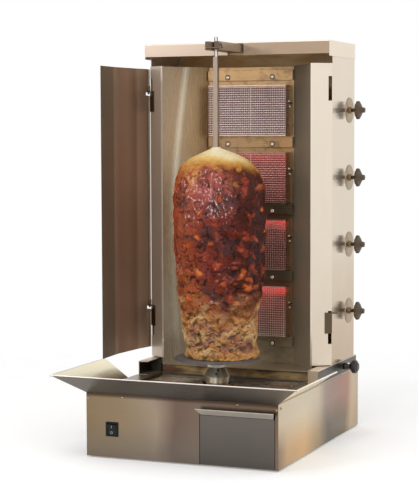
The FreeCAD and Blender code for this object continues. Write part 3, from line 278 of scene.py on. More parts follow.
casing_colour = painted_light_by_side(casing_steel, side_reflection_bands, tone(128, 112, 96), tone(126, 108, 88), tone(150, 138, 122),
                        tone(214, 198, 172), tone(80, 68, 54))
brushed(casing_steel, casing_steel.scaled(casing_colour, 0.84), "y")
formed("base_casing", casing_steel)
rear_steel = Finish("rear_steel", Metallic=1.0)
brushed(rear_steel, tone(150, 138, 122), "x")
formed("base_rear_panel", rear_steel)
rear_steel.give("base_bottom_plate")

# Rubber feet: four low moulded discs under the bottom plate.
rubber = Finish("rubber", Roughness=0.85)
rubber.drive("Base Color", rubber.scaled(tone(34, 32, 30), 0.8 + rubber.speckle(300.0) * 0.5))
rubber.bump(rubber.speckle(900.0), 0.0002)
rubber.give("rubber_feet")

# Front panel: one flat brushed sheet between the sides, cut out for the drawer and the switch.
# It is brownest at its left end and greyer towards the drawer.
front_steel = Finish("front_steel", Metallic=1.0)
across = front_steel.along("X") + (front_steel.speckle(6.0) - 0.5) * 0.12
front_tones = front_steel.ramp(across.between(-0.26, 0.26), [
    (0.0, tone(140, 120, 92)), (0.2, tone(152, 133, 108)), (0.34, tone(166, 148, 128)),
    (0.47, tone(120, 100, 88)), (0.6, tone(124, 108, 96)), (1.0, tone(124, 105, 86))])
low_share = front_steel.along("Z").between(0.1, 0.02)
# Painted shadow: a dark band along the top of the front panel, under the tray's lip.
lip_shadow = front_steel.along("Z").between(0.154, 0.161)
front_colour = front_steel.mixed(low_share * 0.55, front_tones, tone(124, 116, 108))
front_colour = front_steel.mixed(lip_shadow * 0.8, front_colour, tone(62, 48, 38))
brushed(front_steel, front_steel.scaled(front_colour, 0.86), "x", stains=0.8)
formed("base_front_panel", front_steel)

# Rear deck and slide rails: a folded cover over the wiring, and a folded channel along each side that
# the column's nylon shoes run in.
rail_steel = Finish("rail_steel", Metallic=0.8)
# Painted shade and highlights: the rail's web is dark as if in shadow, with bright lines along its flange edges.
rail_edge_highlight = abs(rail_steel.along("Z") - 0.184).between(0.0165, 0.0175)
rail_shade_and_highlights = rail_steel.mixed(rail_edge_highlight, tone(66, 58, 50), tone(226, 212, 190))
rail_colour = painted_light_by_side(rail_steel, rail_shade_and_highlights, tone(104, 88, 74), tone(206, 188, 166),
                      tone(140, 126, 110), tone(226, 212, 190), tone(70, 58, 46))
brushed(rail_steel, rail_colour, "y")
formed("left_rail", rail_steel)
formed("right_rail", rail_steel)
deck_steel = Finish("deck_steel", Metallic=0.6)
deck_gleam = deck_steel.speckle(16.0, (1, 1, 3), 3.0).between(0.42, 0.62)
deck_front = deck_steel.mixed(deck_gleam, tone(128, 96, 76), tone(214, 186, 132))
deck_colour = painted_light_by_side(deck_steel, tone(190, 172, 146), tone(110, 94, 78), deck_front, tone(140, 126, 110),
                      tone(176, 158, 134), tone(80, 66, 52))
brushed(deck_steel, deck_colour, "x")
formed("rear_deck", deck_steel)

# Screws of the base: pan heads with a hexagon socket, stainless, dulled by the wash.
SCREW_R = 3.7
SCREW_H = 2.4
SOCKET_R = 1.7


def turned(shape, profile, centre, axis, steps=32, six_sided=0):
    """Adds a turned shape from (along, radius) points; the last rings named can be given six flats."""
    rings = []
    for i, (run_at, radius) in enumerate(profile):
        ring = []
        for k in range(steps if radius > 0 else 1):
            angle = 2 * math.pi * k / steps
            r = radius
            if i >= len(profile) - six_sided and radius > 0:
                r *= math.cos(math.pi / 6) / math.cos((angle % (math.pi / 3)) - math.pi / 6)
            u, w = r * math.cos(angle), r * math.sin(angle)
            spot = {"x": (run_at, u, w), "y": (-w, run_at, u), "z": (u, w, run_at)}[axis[-1]]
            if axis[0] == "-":
                spot = {"x": (-run_at, u, -w), "y": (w, -run_at, u), "z": (u, -w, -run_at)}[axis[-1]]
            ring.append(shape.verts.new(Vector(centre) + Vector(spot)))
        rings.append(ring)
    for low, high in zip(rings, rings[1:]):
        for k in range(steps):
            a, b = low[k % len(low)], low[(k + 1) % len(low)]
            c, d = high[(k + 1) % len(high)], high[k % len(high)]
            corners = [v for i, v in enumerate((a, b, c, d)) if v not in (a, b, c, d)[:i]]
            if len(corners) > 2:
                shape.faces.new(corners)
    return shape


def screw_head(shape, centre, axis, size=1.0):
    """A domed head with a rolled edge and a six-sided socket, its seat at the centre."""
    dome = [(0.0, SCREW_R * 0.9), (0.35, SCREW_R), (0.9, SCREW_R * 0.98), (1.5, SCREW_R * 0.86),
            (2.0, SCREW_R * 0.66), (SCREW_H, SOCKET_R + 0.25), (SCREW_H - 0.15, SOCKET_R),
            (0.9, SOCKET_R), (0.9, 0.0)]
    turned(shape, [(a * size / 1000, r * size / 1000) for a, r in dome], centre, axis, 24, 4)


def heads_of(node):
    """Each screw of a node: the middle of its seat, and the way that it faces."""
    shape = bmesh.new()
    shape.from_mesh(frame["nodes"][node].data)
    bmesh.ops.remove_doubles(shape, verts=shape.verts, dist=1e-5)
    left = set(shape.verts)
    found = []
    while left:
        seed = left.pop()
        island, edge = {seed}, [seed]
        while edge:
            for e in edge.pop().link_edges:
                for v in e.verts:
                    if v in left:
                        left.discard(v)
                        island.add(v)
                        edge.append(v)
        spots = np.array([v.co[:] for v in island])
        low, high = spots.min(0), spots.max(0)
        thin = int(np.argmin(high - low))
        outward = 1 if (low + high)[thin] > 0 and thin == 0 else -1
        middle = (low + high) / 2
        middle[thin] = low[thin] if outward > 0 else high[thin]
        found.append((middle, ("-" if outward < 0 else "") + "xyz"[thin]))
    shape.free()
    return found


screw_steel = Finish("screw_steel", Metallic=0.9)
brushed(screw_steel, tone(176, 158, 134), "z", 0.26, 0.4)
heads = bmesh.new()
for middle, axis in heads_of("base_screws"):
    screw_head(heads, middle, axis)
shown("base_screw_heads", heads, screw_steel, "base", ("base_screws",))

# Drawer: an open folded box on angle runners, behind a flat front whose top edge is bent out as a grip.
drawer_steel = Finish("drawer_steel", Metallic=0.85)
drawer_rise = drawer_steel.along("Z").between(0.0, 0.13)
face_tones = drawer_steel.mixed(drawer_rise, tone(92, 86, 81), tone(110, 104, 99))
drawer_colour = painted_light_by_side(drawer_steel, tone(150, 136, 118), tone(120, 106, 92), face_tones, tone(120, 108, 96),
                        tone(176, 168, 158), tone(70, 60, 50))
# Painted highlight: a bright band along the bent-out grip at the top of the drawer front.
lip_highlight = drawer_steel.along("Z").between(0.1282, 0.1295)
drawer_colour = drawer_steel.mixed(lip_highlight, drawer_colour, tone(246, 238, 228))
brushed(drawer_steel, drawer_steel.scaled(drawer_colour, 0.86), "x", 0.36, 0.7)
formed("drawer_front", drawer_steel)
box_steel = Finish("drawer_box_steel", Metallic=1.0)
brushed(box_steel, tone(150, 140, 126), "y", 0.3)
formed("drawer_box", box_steel)
box_steel.give("drawer_runners")

# Mains switch: a black nylon bezel with a rocker that tips on a pin, marked I and O in pale ink.
nylon_black = Finish("switch_nylon", Roughness=0.5, Specular_IOR_Level=0.2)
nylon_black.drive("Base Color", nylon_black.scaled(tone(20, 23, 20), 0.85 + nylon_black.speckle(400.0) * 0.3))
nylon_black.bump(nylon_black.speckle(2200.0), 0.00005)
formed("switch_bezel", nylon_black, 0.5)
rocker_low, rocker_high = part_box("rocker_switch")
rocker_nylon = Finish("rocker_nylon", Roughness=0.4, Specular_IOR_Level=0.25)
rocker_nylon.drive("Base Color", rocker_nylon.scaled(tone(20, 25, 21), 0.9 + rocker_nylon.speckle(500.0) * 0.2))
rocker_nylon.bump(rocker_nylon.speckle(2600.0), 0.00004)
formed("rocker_switch", rocker_nylon, 0.8)

ROCKER_TILT = math.radians(6.0)
ROCKER_AT = Vector((-0.187, -0.30025, 0.075))
MARK_R = 0.0032
marks = bmesh.new()
MARK_FACE = -0.0066


def mark_spot(x, y, z):
    """A spot on the rocker, turned with it."""
    tilt = Matrix.Rotation(ROCKER_TILT, 3, "X")
    return ROCKER_AT + tilt @ Vector((x, y, z))


slope = math.atan2(2.2, 13.9)
for angle in range(24):
    corners = []
    for r in (MARK_R, MARK_R - 0.0009):
        for k in (angle, angle + 1):
            turn = 2 * math.pi * k / 24
            z = -0.0076 + r * math.sin(turn)
            corners.append((r * math.cos(turn), MARK_FACE + (abs(z) - 0.0076) * -math.tan(slope), z))
    a, b, d, c = (marks.verts.new(mark_spot(*p)) for p in corners)
    marks.faces.new((a, b, c, d))
bar = []
for x, z in ((-0.0006, 0.0042), (0.0006, 0.0042), (0.0006, 0.0110), (-0.0006, 0.0110)):
    bar.append(marks.verts.new(mark_spot(x, MARK_FACE + (abs(z) - 0.0076) * -math.tan(slope), z)))
marks.faces.new(bar)
ink = Finish("switch_ink", Roughness=0.6)
ink.drive("Base Color", ink.scaled(tone(186, 190, 182), 0.85 + ink.speckle(900.0) * 0.3))
shown("rocker_marks", marks, ink, "rocker")

# Under the tray: the cable gland, the gear motor on its stand and the bronze sleeve that the shaft
# turns in.
gland_nylon = Finish("gland_nylon", Roughness=0.5)
gland_nylon.drive("Base Color", gland_nylon.scaled(tone(30, 30, 31), 0.85 + gland_nylon.speckle(350.0) * 0.3))
gland_nylon.bump(gland_nylon.speckle(1500.0), 0.00005)
formed("mains_inlet_gland", gland_nylon, 0.4)
motor_paint = Finish("motor_paint", Roughness=0.45)
motor_paint.drive("Base Color", motor_paint.scaled(tone(92, 96, 102), 0.8 + motor_paint.speckle(40.0, detail=4.0) * 0.4))
motor_paint.bump(motor_paint.speckle(1200.0), 0.0001)
motor_paint.give("gear_motor", "motor_bracket")
bronze = Finish("sleeve_bronze", Metallic=1.0)
brushed(bronze, tone(186, 150, 92), "z", 0.35)
bronze.give("hub_bearing")

# Drive hub: turned stainless in a double cone, polished, with two cross holes for grub screws.
hub_steel = Finish("hub_steel", Metallic=0.6)
# Painted highlights and reflections: bright and dark streaks round the hub, set by how far each side faces to the
# right and a little back.
hub_round = hub_steel.part(hub_steel.facing, "X") * 0.926 + hub_steel.part(hub_steel.facing, "Y") * 0.38
hub_highlights = hub_steel.ramp(hub_round * 0.5 + 0.5, [
    (0.0, tone(140, 124, 104)), (0.14, tone(200, 188, 166)), (0.27, tone(222, 212, 192)), (0.38, tone(255, 252, 244)),
    (0.46, tone(255, 255, 250)), (0.53, tone(196, 182, 160)), (0.64, tone(232, 218, 194)), (0.75, tone(166, 150, 126)),
    (0.86, tone(190, 174, 148)), (0.93, tone(255, 252, 246)), (1.0, tone(170, 152, 128))])
turning = hub_steel.speckle(1.0, (30, 30, 1500), 2.0)
hub_steel.drive("Base Color", hub_steel.scaled(hub_highlights, 0.9 + turning * 0.2))
hub_steel.drive("Roughness", 0.16 + turning * 0.14)
hub_steel.bump(turning, 0.00006)
formed("drive_hub", hub_steel, 0.5)
grub_black = Finish("grub_screw_black", Roughness=0.45)
grub_black.drive("Base Color", grub_black.scaled(tone(20, 18, 16), 0.7 + grub_black.speckle(300.0) * 0.6))
grub_black.bump(grub_black.speckle(900.0), 0.0001)
grubs = bmesh.new()
for degrees, rise, reach in ((-72.0, 0.195, 0.0262), (-60.0, 0.204, 0.0218)):
    aim = Vector((math.cos(math.radians(degrees)), math.sin(math.radians(degrees)), 0))
    aside = aim.cross(Vector((0, 0, 1)))
    rims = [[grubs.verts.new(Vector((0, -0.05725, rise)) + aim * reach * 1.0 + (aside * math.cos(t / 24 * math.tau)
             + Vector((0, 0, 1)) * math.sin(t / 24 * math.tau)) * r + aim * d) for t in range(24)]
            for r, d in ((0.00295, -0.003), (0.00295, 0.0), (0.0024, 0.0005), (0.0013, 0.0005), (0.0012, -0.0016))]
    for one, other in zip(rims, rims[1:]):
        for k in range(24):
            grubs.faces.new((one[k], one[(k + 1) % 24], other[(k + 1) % 24], other[k]))
    grubs.faces.new(rims[-1])
bmesh.ops.recalc_face_normals(grubs, faces=grubs.faces)
shown("hub_grub_screws", grubs, grub_black, "hub")

# Catch tray: one folded pan with flared edges at the front and sides, a rolled hem along their top
# and a sunk middle that drains into the drawer.
tray_steel = Finish("tray_steel", Metallic=0.55)
lip_tones = tray_steel.ramp((tray_steel.along("X") + (tray_steel.speckle(8.0) - 0.5) * 0.1).between(-0.33, 0.33), [
    (0.0, tone(108, 100, 90)), (0.4, tone(106, 103, 98)), (0.7, tone(112, 104, 96)), (1.0, tone(150, 138, 124))])
inner_front = tray_steel.mixed(tray_steel.speckle(12.0, (1, 1, 5), 3.0).between(0.4, 0.6), tone(96, 88, 72), tone(170, 160, 138))
tray_colour = painted_light_by_side(tray_steel, tone(255, 252, 236), tone(206, 178, 156), lip_tones,
                      inner_front, tone(150, 138, 116), lip_tones)
tray_colour = tray_steel.scaled(tray_colour, 0.9)
# Painted highlight: a bright line along the top of the rolled hem.
hem_highlight = tray_steel.along("Z").between(0.2132, 0.2140)
# Painted light: the inside face of the left wing is near white, darker towards its foot.
left_wing = tray_steel.part(tray_steel.facing, "X").between(0.3, 0.5)
wing_painted_light = tray_steel.mixed(tray_steel.along("Z").between(0.17, 0.184), tone(150, 128, 84), tone(255, 246, 214))
tray_colour = tray_steel.mixed(left_wing, tray_colour, wing_painted_light)
tray_colour = tray_steel.mixed(hem_highlight, tray_colour, tone(255, 246, 240))
brushed(tray_steel, tray_colour, "x", 0.3, 0.5)
tray_steel.drive("Metallic", 0.55 + left_wing * 0.45)
formed("catch_tray", tray_steel, 0.4)

# Strainer: a loose plate in the pan, pressed with rows of hooded louvres on both sides of the hub.
LOUVRE_PITCH = 0.0120
LOUVRE_R = 0.0042
LOUVRE_STEPS = 6
strainer_low, strainer_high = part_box("tray_strainer")
strainer_top = strainer_low.z + 0.0095
strainer_steel = Finish("strainer_steel", Metallic=0.7)
# Painted highlight: a bright line along the strainer's front and rear edges.
strainer_edge_highlight = abs(strainer_steel.along("Y") + 0.10375).between(0.1575, 0.1595)
strainer_tone = strainer_steel.mixed(strainer_steel.speckle(14.0, (1, 2, 1), 3.0).between(0.3, 0.75),
                                     tone(110, 100, 82), tone(196, 182, 160))
brushed(strainer_steel, strainer_steel.mixed(strainer_edge_highlight, strainer_tone, tone(255, 250, 240)), "x", 0.24)
plate = bmesh.new()
hub_y = -0.05725
RING_IN = 0.0452
FRAME_IN = 0.0175
slot_x0, slot_x1 = 0.052, strainer_high.x - FRAME_IN


def quad(shape, *corners):
    shape.faces.new([shape.verts.new(c) for c in corners])


rows = []
y = strainer_low.y + 0.018
while y + LOUVRE_R < strainer_high.y - 0.014:
    rows.append(y)
    y += LOUVRE_PITCH
for side in (-1, 1):
    for y in rows:
        for x0, x1 in ((slot_x0, (slot_x0 + slot_x1) / 2 - 0.004), ((slot_x0 + slot_x1) / 2 + 0.004, slot_x1)):
            rim = []
            for k in range(LOUVRE_STEPS + 1):
                turn = math.pi * 0.62 * k / LOUVRE_STEPS
                rim.append((y + LOUVRE_R * (1 - math.cos(turn)) - LOUVRE_R, strainer_top + LOUVRE_R * math.sin(turn)))
            for lift in (0.0, -0.0007):
                for (ya, za), (yb, zb) in zip(rim, rim[1:]):
                    quad(plate, (side * x0, ya, za + lift), (side * x1, ya, za + lift),
                         (side * x1, yb, zb + lift), (side * x0, yb, zb + lift))
            for x in (x0, x1):
                fan = [plate.verts.new((side * x, ya, za)) for ya, za in rim]
                fan.append(plate.verts.new((side * x, rim[-1][0], strainer_top)))
                plate.faces.new(fan)
bmesh.ops.remove_doubles(plate, verts=plate.verts, dist=1e-6)
shown("strainer_louvres", plate, strainer_steel, "tray", corner=50.0)
formed("tray_strainer", strainer_steel, 0.3)

# Column: folded sides with a narrow front lip and a slanted strip, a floor pan that carries nylon
# shoes, and a back panel with vents.
right_steel = Finish("column_right_steel", Metallic=0.85)
right_rise = right_steel.along("Z") + (right_steel.speckle(5.0) - 0.5) * 0.2
right_tones = right_steel.ramp(right_rise.between(0.2, 1.03), [
    (0.0, tone(186, 160, 128)), (0.14, tone(196, 173, 143)), (0.35, tone(216, 200, 178)),
    (0.8, tone(221, 206, 185)), (1.0, tone(224, 208, 188))])
right_colour = painted_light_by_side(right_steel, right_tones, tone(110, 92, 74), tone(238, 226, 210), tone(150, 138, 122),
                       tone(200, 186, 166), tone(80, 64, 48))
brushed(right_steel, right_colour, "z", 0.14, 0.2)
right_steel.drive("Metallic", 0.85 - right_steel.part(right_steel.facing, "Y").between(-0.3, -0.9) * 0.3)
formed("column_side_right", right_steel)
left_steel = Finish("column_left_steel", Metallic=0.5)
left_colour = painted_light_by_side(left_steel, tone(214, 200, 180), tone(210, 198, 184), tone(196, 182, 166), tone(140, 128, 112),
                      tone(180, 164, 144), tone(80, 64, 48))
brushed(left_steel, left_colour, "z", 0.36, 0.5)
formed("column_side_left", left_steel)
floor_steel = Finish("column_floor_steel", Metallic=0.5)
floor_colour = painted_light_by_side(floor_steel, tone(170, 150, 124), tone(150, 134, 112), tone(200, 182, 158),
                       tone(130, 116, 100), tone(188, 170, 142), tone(90, 76, 62))
brushed(floor_steel, floor_colour, "x", 0.34)
formed("column_floor_pan", floor_steel)
back_steel = Finish("column_back_steel", Metallic=0.1)
back_heat = back_steel.mixed(back_steel.speckle(9.0, (1, 1, 3), 3.0).between(0.35, 0.65), tone(226, 172, 112), tone(255, 222, 164))
back_colour = painted_light_by_side(back_steel, tone(150, 134, 112), tone(150, 134, 112), back_heat, tone(176, 162, 144),
                      tone(176, 162, 144), tone(90, 76, 62))
brushed(back_steel, back_colour, "z", 0.34, 0.5)
formed("column_back_panel", back_steel)
shoe_nylon = Finish("shoe_nylon", Roughness=0.5)
shoe_nylon.drive("Base Color", shoe_nylon.scaled(tone(62, 56, 50), 0.85 + shoe_nylon.speckle(120.0) * 0.2))
shoe_nylon.bump(shoe_nylon.speckle(800.0), 0.00008)
formed("slide_shoes", shoe_nylon, 0.8)

# Cap: a folded lid over the column with a deep front skirt. Its underside is golden brown, partly heat stain and
# partly painted light from the burners below.
cap_steel = Finish("cap_steel")
cap_front = cap_steel.mixed(cap_steel.along("X").between(-0.1, 0.1), tone(184, 166, 150), tone(166, 144, 122))
cap_colour = painted_light_by_side(cap_steel, tone(234, 220, 200), tone(140, 124, 106), cap_front, tone(150, 138, 122),
                     tone(224, 211, 194), tone(232, 190, 140))
# Painted highlight: a pale line along the cap's top edge.
cap_edge_highlight = cap_steel.along("Z").between(1.0585, 1.0605)
cap_colour = cap_steel.mixed(cap_edge_highlight, cap_colour, tone(236, 228, 216))
brushed(cap_steel, cap_colour, "x", 0.34, 0.5)
cap_steel.drive("Metallic", cap_steel.part(cap_steel.facing, "Z").between(-0.6, -0.3) * 0.9)
formed("column_cap", cap_steel, 0.6)

# Reflectors and burner panel: polished sheet that the heat has turned straw and brown, with
# patches of soot on the panel.
left_gold = Finish("reflector_left_steel", Metallic=0.6)
gold_rise = left_gold.along("Z") + (left_gold.speckle(5.0) - 0.5) * 0.15
gold_tones = left_gold.ramp(gold_rise.between(0.2, 1.0), [
    (0.0, tone(190, 178, 158)), (0.25, tone(172, 158, 134)), (0.5, tone(196, 164, 126)), (1.0, tone(208, 166, 118))])
# Painted reflection: a curved bright streak with a dark far edge on the left reflector, blended in more strongly
# higher up.
gold_high = left_gold.along("Z") - 0.6
gold_run = left_gold.along("X") + 0.243 - gold_high * 0.02 - gold_high * gold_high * 0.1
gold_reflection_streak = left_gold.ramp(gold_run.between(0.0, 0.125), [
    (0.0, tone(150, 142, 126)), (0.1, tone(176, 158, 134)), (0.33, tone(198, 172, 140)), (0.4, tone(255, 246, 222)),
    (0.46, tone(200, 176, 142)), (0.7, tone(196, 164, 120)), (0.95, tone(150, 114, 76)), (1.0, tone(90, 66, 44))])
gold_colour = left_gold.mixed(left_gold.along("Z").between(0.5, 0.66) * 0.6 + 0.25, gold_tones, gold_reflection_streak)
brushed(left_gold, gold_colour, "z", 0.27, 0.4)
formed("reflector_left", left_gold, 0.4, 8.0)
right_gold = Finish("reflector_right_steel", Metallic=0.35)
dull_rise = right_gold.along("Z") + (right_gold.speckle(5.0) - 0.5) * 0.15
dull_tones = right_gold.ramp(dull_rise.between(0.2, 1.0), [
    (0.0, tone(180, 172, 152)), (0.3, tone(170, 162, 142)), (1.0, tone(126, 114, 98))])
brushed(right_gold, dull_tones, "z", 0.5, 0.3)
formed("reflector_right", right_gold, 0.4, 8.0)
panel_steel = Finish("burner_panel_steel", Metallic=0.5)
panel_rise = panel_steel.along("Z") + (panel_steel.speckle(14.0, detail=4.0) - 0.5) * 0.1
panel_tones = panel_steel.ramp(panel_rise.between(0.2, 1.0), [
    (0.0, tone(170, 156, 130)), (0.25, tone(134, 120, 96)), (0.6, tone(120, 106, 84)), (0.72, tone(184, 150, 104)),
    (0.82, tone(184, 142, 104)), (1.0, tone(204, 166, 116))])
panel_soot = panel_steel.speckle(40.0, (1, 1, 1.2), 4.0).between(0.5, 0.78)
panel_low = panel_steel.along("Z").between(0.75, 0.62)
panel_tones = panel_steel.mixed(panel_soot * (0.8 - panel_low * 0.4), panel_tones, tone(96, 58, 36))
strip_share = (panel_steel.along("Z") - 0.9995) / 0.182
strip_share = strip_share.math("FRACT", strip_share + 5.0)
strip_edge = abs(strip_share - 0.82).between(0.055, 0.075)
panel_tones = panel_steel.mixed(strip_edge * 0.0, panel_tones, tone(80, 58, 38))
brushed(panel_steel, panel_tones, "x", 0.3)
for node in ("burner_panel", "burner_cover_strips"):
    formed(node, panel_steel)
panel_steel.give("burner_bodies")

# Ceramic plaques: two to a burner, pressed with rows of fine gas holes. The top burner is off, the
# others glow, most along their upper edges.
ceramic = Finish("ceramic", Roughness=0.8, Emission_Strength=1.0)
HOLE_PITCH = 0.0028
column_no = ceramic.along("X") / HOLE_PITCH
row_no = ceramic.along("Z") / HOLE_PITCH
hole_x = abs(column_no.math("FRACT", column_no + 500.0) - 0.5)
hole_z = abs(row_no.math("FRACT", row_no + 500.0) - 0.5)
hole = 1.0 - ((hole_x * hole_x + hole_z * hole_z) ** 0.5).between(0.2, 0.34)
plaque_z = ceramic.along("Z")
patch = ceramic.speckle(24.0, (1, 1, 1.6), 3.0)
low_burner = plaque_z.between(0.796, 0.784)
burner_share = (plaque_z - 0.2725) / 0.182
up_plaque = burner_share.math("FRACT", burner_share) * 1.4444
top_line = (up_plaque + (patch - 0.5) * 0.16).between(0.8, 0.97)
haze = (up_plaque * 0.5 + patch - 0.5).between(0.1, 0.7)
second = plaque_z.between(0.61, 0.62)
fourth = plaque_z.between(0.41, 0.4)
fire = (top_line * (0.75 - second * 0.62) + haze * (0.07 + second * 0.07 + fourth * 0.18)) * low_burner
clay = ceramic.mixed(low_burner, tone(142, 112, 110), tone(142, 66, 62))
clay = ceramic.mixed(ceramic.speckle(9.0).between(0.45, 0.65) * 0.5, clay, tone(150, 84, 96))
# Painted shade: the gas holes are darkened in the clay's colour.
clay = ceramic.mixed(hole * 0.6, clay, tone(64, 34, 32))
ceramic.drive("Base Color", ceramic.scaled(clay, 0.8 + patch * 0.4))
glow = ceramic.mixed(hole * 0.5, tone(255, 56, 56), tone(255, 90, 70))
ceramic.drive("Emission Color", ceramic.scaled(glow, fire))
ceramic.bump(1.0 - hole, 0.0006)
ceramic.give("ceramic_plaques")
cement = Finish("plaque_cement", Roughness=0.9)
cement.drive("Base Color", cement.scaled(tone(236, 226, 218), 0.8 + cement.speckle(220.0) * 0.4))
cement.bump(cement.speckle(500.0), 0.0003)
seams = bmesh.new()
plaque_low, plaque_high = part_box("ceramic_plaques")
for n in range(4):
    middle_z = 0.8815 - 0.182 * n
    bead = [(x / 1000, plaque_low.y - 0.0006 + y / 1000) for x, y in ((-2.4, 1.4), (-1.7, 0.3), (0.0, 0.0), (1.7, 0.3), (2.4, 1.4))]
    for (xa, ya), (xb, yb) in zip(bead, bead[1:]):
        seams.faces.new([seams.verts.new(c) for c in ((xa, ya, middle_z - 0.0628), (xb, yb, middle_z - 0.0628),
                                                      (xb, yb, middle_z + 0.0628), (xa, ya, middle_z + 0.0628))])
bmesh.ops.remove_doubles(seams, verts=seams.verts, dist=1e-6)
shown("plaque_seams", seams, cement, "column", corner=60.0)

# Mesh guards: woven stainless wire in a folded edge strip, bent back at both sides to feet on the
# panel. The wires stand six millimetres apart.
WIRE_PITCH = 0.0062
WIRE_R = 0.00095
EDGE_W = 0.0024


def wire_along(shape, points, radius=WIRE_R):
    """A three-sided wire through the points, its ends open."""
    rings = []
    for i, p in enumerate(points):
        ahead = points[min(i + 1, len(points) - 1)] - points[max(i - 1, 0)]
        ahead.normalize()
        across_it = ahead.cross(Vector((0.3, 0.9, 0.2)) if abs(ahead.z) < 0.9 else Vector((0, 1, 0))).normalized()
        other = ahead.cross(across_it)
        rings.append([shape.verts.new(p + (across_it * math.cos(t) + other * math.sin(t)) * radius)
                      for t in (0.0, 2.094, 4.189)])
    for low, high in zip(rings, rings[1:]):
        for k in range(3):
            shape.faces.new((low[k], low[(k + 1) % 3], high[(k + 1) % 3], high[k]))


guard_wire = Finish("guard_wire", Metallic=0.8, Roughness=0.38)
# Painted glow light: the wires in front of the glowing burners are tinted pink and red, those of the off burner pale.
guard_tones_and_glow = guard_wire.mixed(guard_wire.along("Z").between(0.79, 0.8), tone(200, 150, 142), tone(228, 210, 206))
third_guard = guard_wire.along("Z").between(0.61, 0.6)
guard_tones_and_glow = guard_wire.mixed(third_guard, guard_tones_and_glow, tone(226, 194, 184))
fourth_guard = guard_wire.along("Z").between(0.42, 0.41)
guard_tones_and_glow = guard_wire.mixed(fourth_guard, guard_tones_and_glow, tone(255, 232, 222))
guard_side = abs(guard_wire.along("X")).between(0.1115, 0.1122)
guard_tones_and_glow = guard_wire.mixed(guard_side, guard_tones_and_glow, tone(150, 124, 90))
guard_wire.drive("Base Color", guard_wire.scaled(guard_tones_and_glow, 0.75 + guard_wire.speckle(60.0, detail=4.0) * 0.5))
for n in range(1, 5):
    low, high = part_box("mesh_guard_%d" % n)
    half_w = 0.1125
    front_y, panel_y = low.y + WIRE_R, high.y
    net = bmesh.new()
    cells_x = round((2 * half_w) / WIRE_PITCH)
    cells_y = round((panel_y - front_y) / WIRE_PITCH)
    cells_z = round((high.z - low.z) / WIRE_PITCH)
    plan = [Vector((-half_w, panel_y - (panel_y - front_y) * i / cells_y, 0)) for i in range(cells_y)]
    plan += [Vector((-half_w + 2 * half_w * i / cells_x, front_y, 0)) for i in range(cells_x + 1)]
    plan += [Vector((half_w, front_y + (panel_y - front_y) * i / cells_y, 0)) for i in range(1, cells_y + 1)]
    for i, p in enumerate(plan[1:-1]):
        wire_along(net, [Vector((p.x, p.y, low.z + 0.0006)), Vector((p.x, p.y, high.z - 0.0006))])
    for j in range(1, cells_z):
        z = low.z + (high.z - low.z) * j / cells_z
        weave = []
        for i, p in enumerate(plan):
            out = Vector((0, -1, 0)) if cells_y <= i < cells_y + cells_x else Vector((1 if p.x > 0 else -1, 0, 0))
            swing = WIRE_R * 0.9 * (1 if (i + j) % 2 else -1)
            weave.append(Vector((p.x, p.y, z)) + out * swing * (0 if i in (0, len(plan) - 1) else 1))
        wire_along(net, weave)
    for z0, z1 in ((low.z, low.z + EDGE_W), (high.z - EDGE_W, high.z)):
        for inset in (0.0, 0.0011):
            strip = [Vector((-half_w + inset, panel_y, 0)), Vector((-half_w + inset, front_y + inset, 0)),
                     Vector((half_w - inset, front_y + inset, 0)), Vector((half_w - inset, panel_y, 0))]
            for a, b in zip(strip, strip[1:]):
                quad(net, (a.x, a.y, z0), (b.x, b.y, z0), (b.x, b.y, z1), (a.x, a.y, z1))
    for side in (-1, 1):
        x0, x1 = side * (half_w - 0.0008), side * (half_w + 0.008)
        for y in (panel_y - 0.0001, panel_y - 0.0012):
            quad(net, (x0, y, low.z), (x1, y, low.z), (x1, y, high.z), (x0, y, high.z))
    shown("woven_guard_%d" % n, net, guard_wire, "column", ("mesh_guard_%d" % n,), 60.0)

# Flame sensors, gas pipe and valves: steel rods in nuts, and brass fittings behind the panel.
brass = Finish("brass", Metallic=1.0)
brushed(brass, tone(196, 160, 92), "z", 0.3)
formed("gas_pipe", brass, 0.4)
formed("gas_valves", brass, 0.5)
sooted_rod = Finish("sensor_steel", Metallic=0.5)
brushed(sooted_rod, tone(70, 58, 46), "z", 0.45, 0.5)
formed("flame_sensors", sooted_rod, 0.2)
glazed = Finish("sensor_ceramic", Roughness=0.25)
glazed.drive("Base Color", glazed.scaled(tone(250, 246, 238), 0.9 + glazed.speckle(200.0) * 0.15))
glazed.bump(glazed.speckle(700.0), 0.00005)
beads = bmesh.new()
for n in range(4):
    for rise, reach in ((0.0245, 0.012), (0.0105, 0.006)):
        turned(beads, [(0.0, 0.0), (0.0006, 0.0019), (0.004, 0.0022), (0.0074, 0.0019), (0.008, 0.0)],
               (0.118, 0.19275 - reach, 0.8815 - 0.182 * n + rise), "-y", 16)
shown("sensor_ceramic_beads", beads, glazed, "column")

# Knob plates: a thin bevelled disc on the column's side for each valve, with a nut round the stem.
disc_steel = Finish("knob_disc_steel", Metallic=1.0)
brushed(disc_steel, tone(158, 138, 108), "z", 0.28, 0.6)
formed("knob_discs", disc_steel, 0.35)
stem_steel = Finish("stem_steel", Metallic=1.0)
brushed(stem_steel, tone(84, 66, 50), "x", 0.3, 0.5)
stem_steel.give(*("valve_stem_%d" % n for n in range(1, 5)))

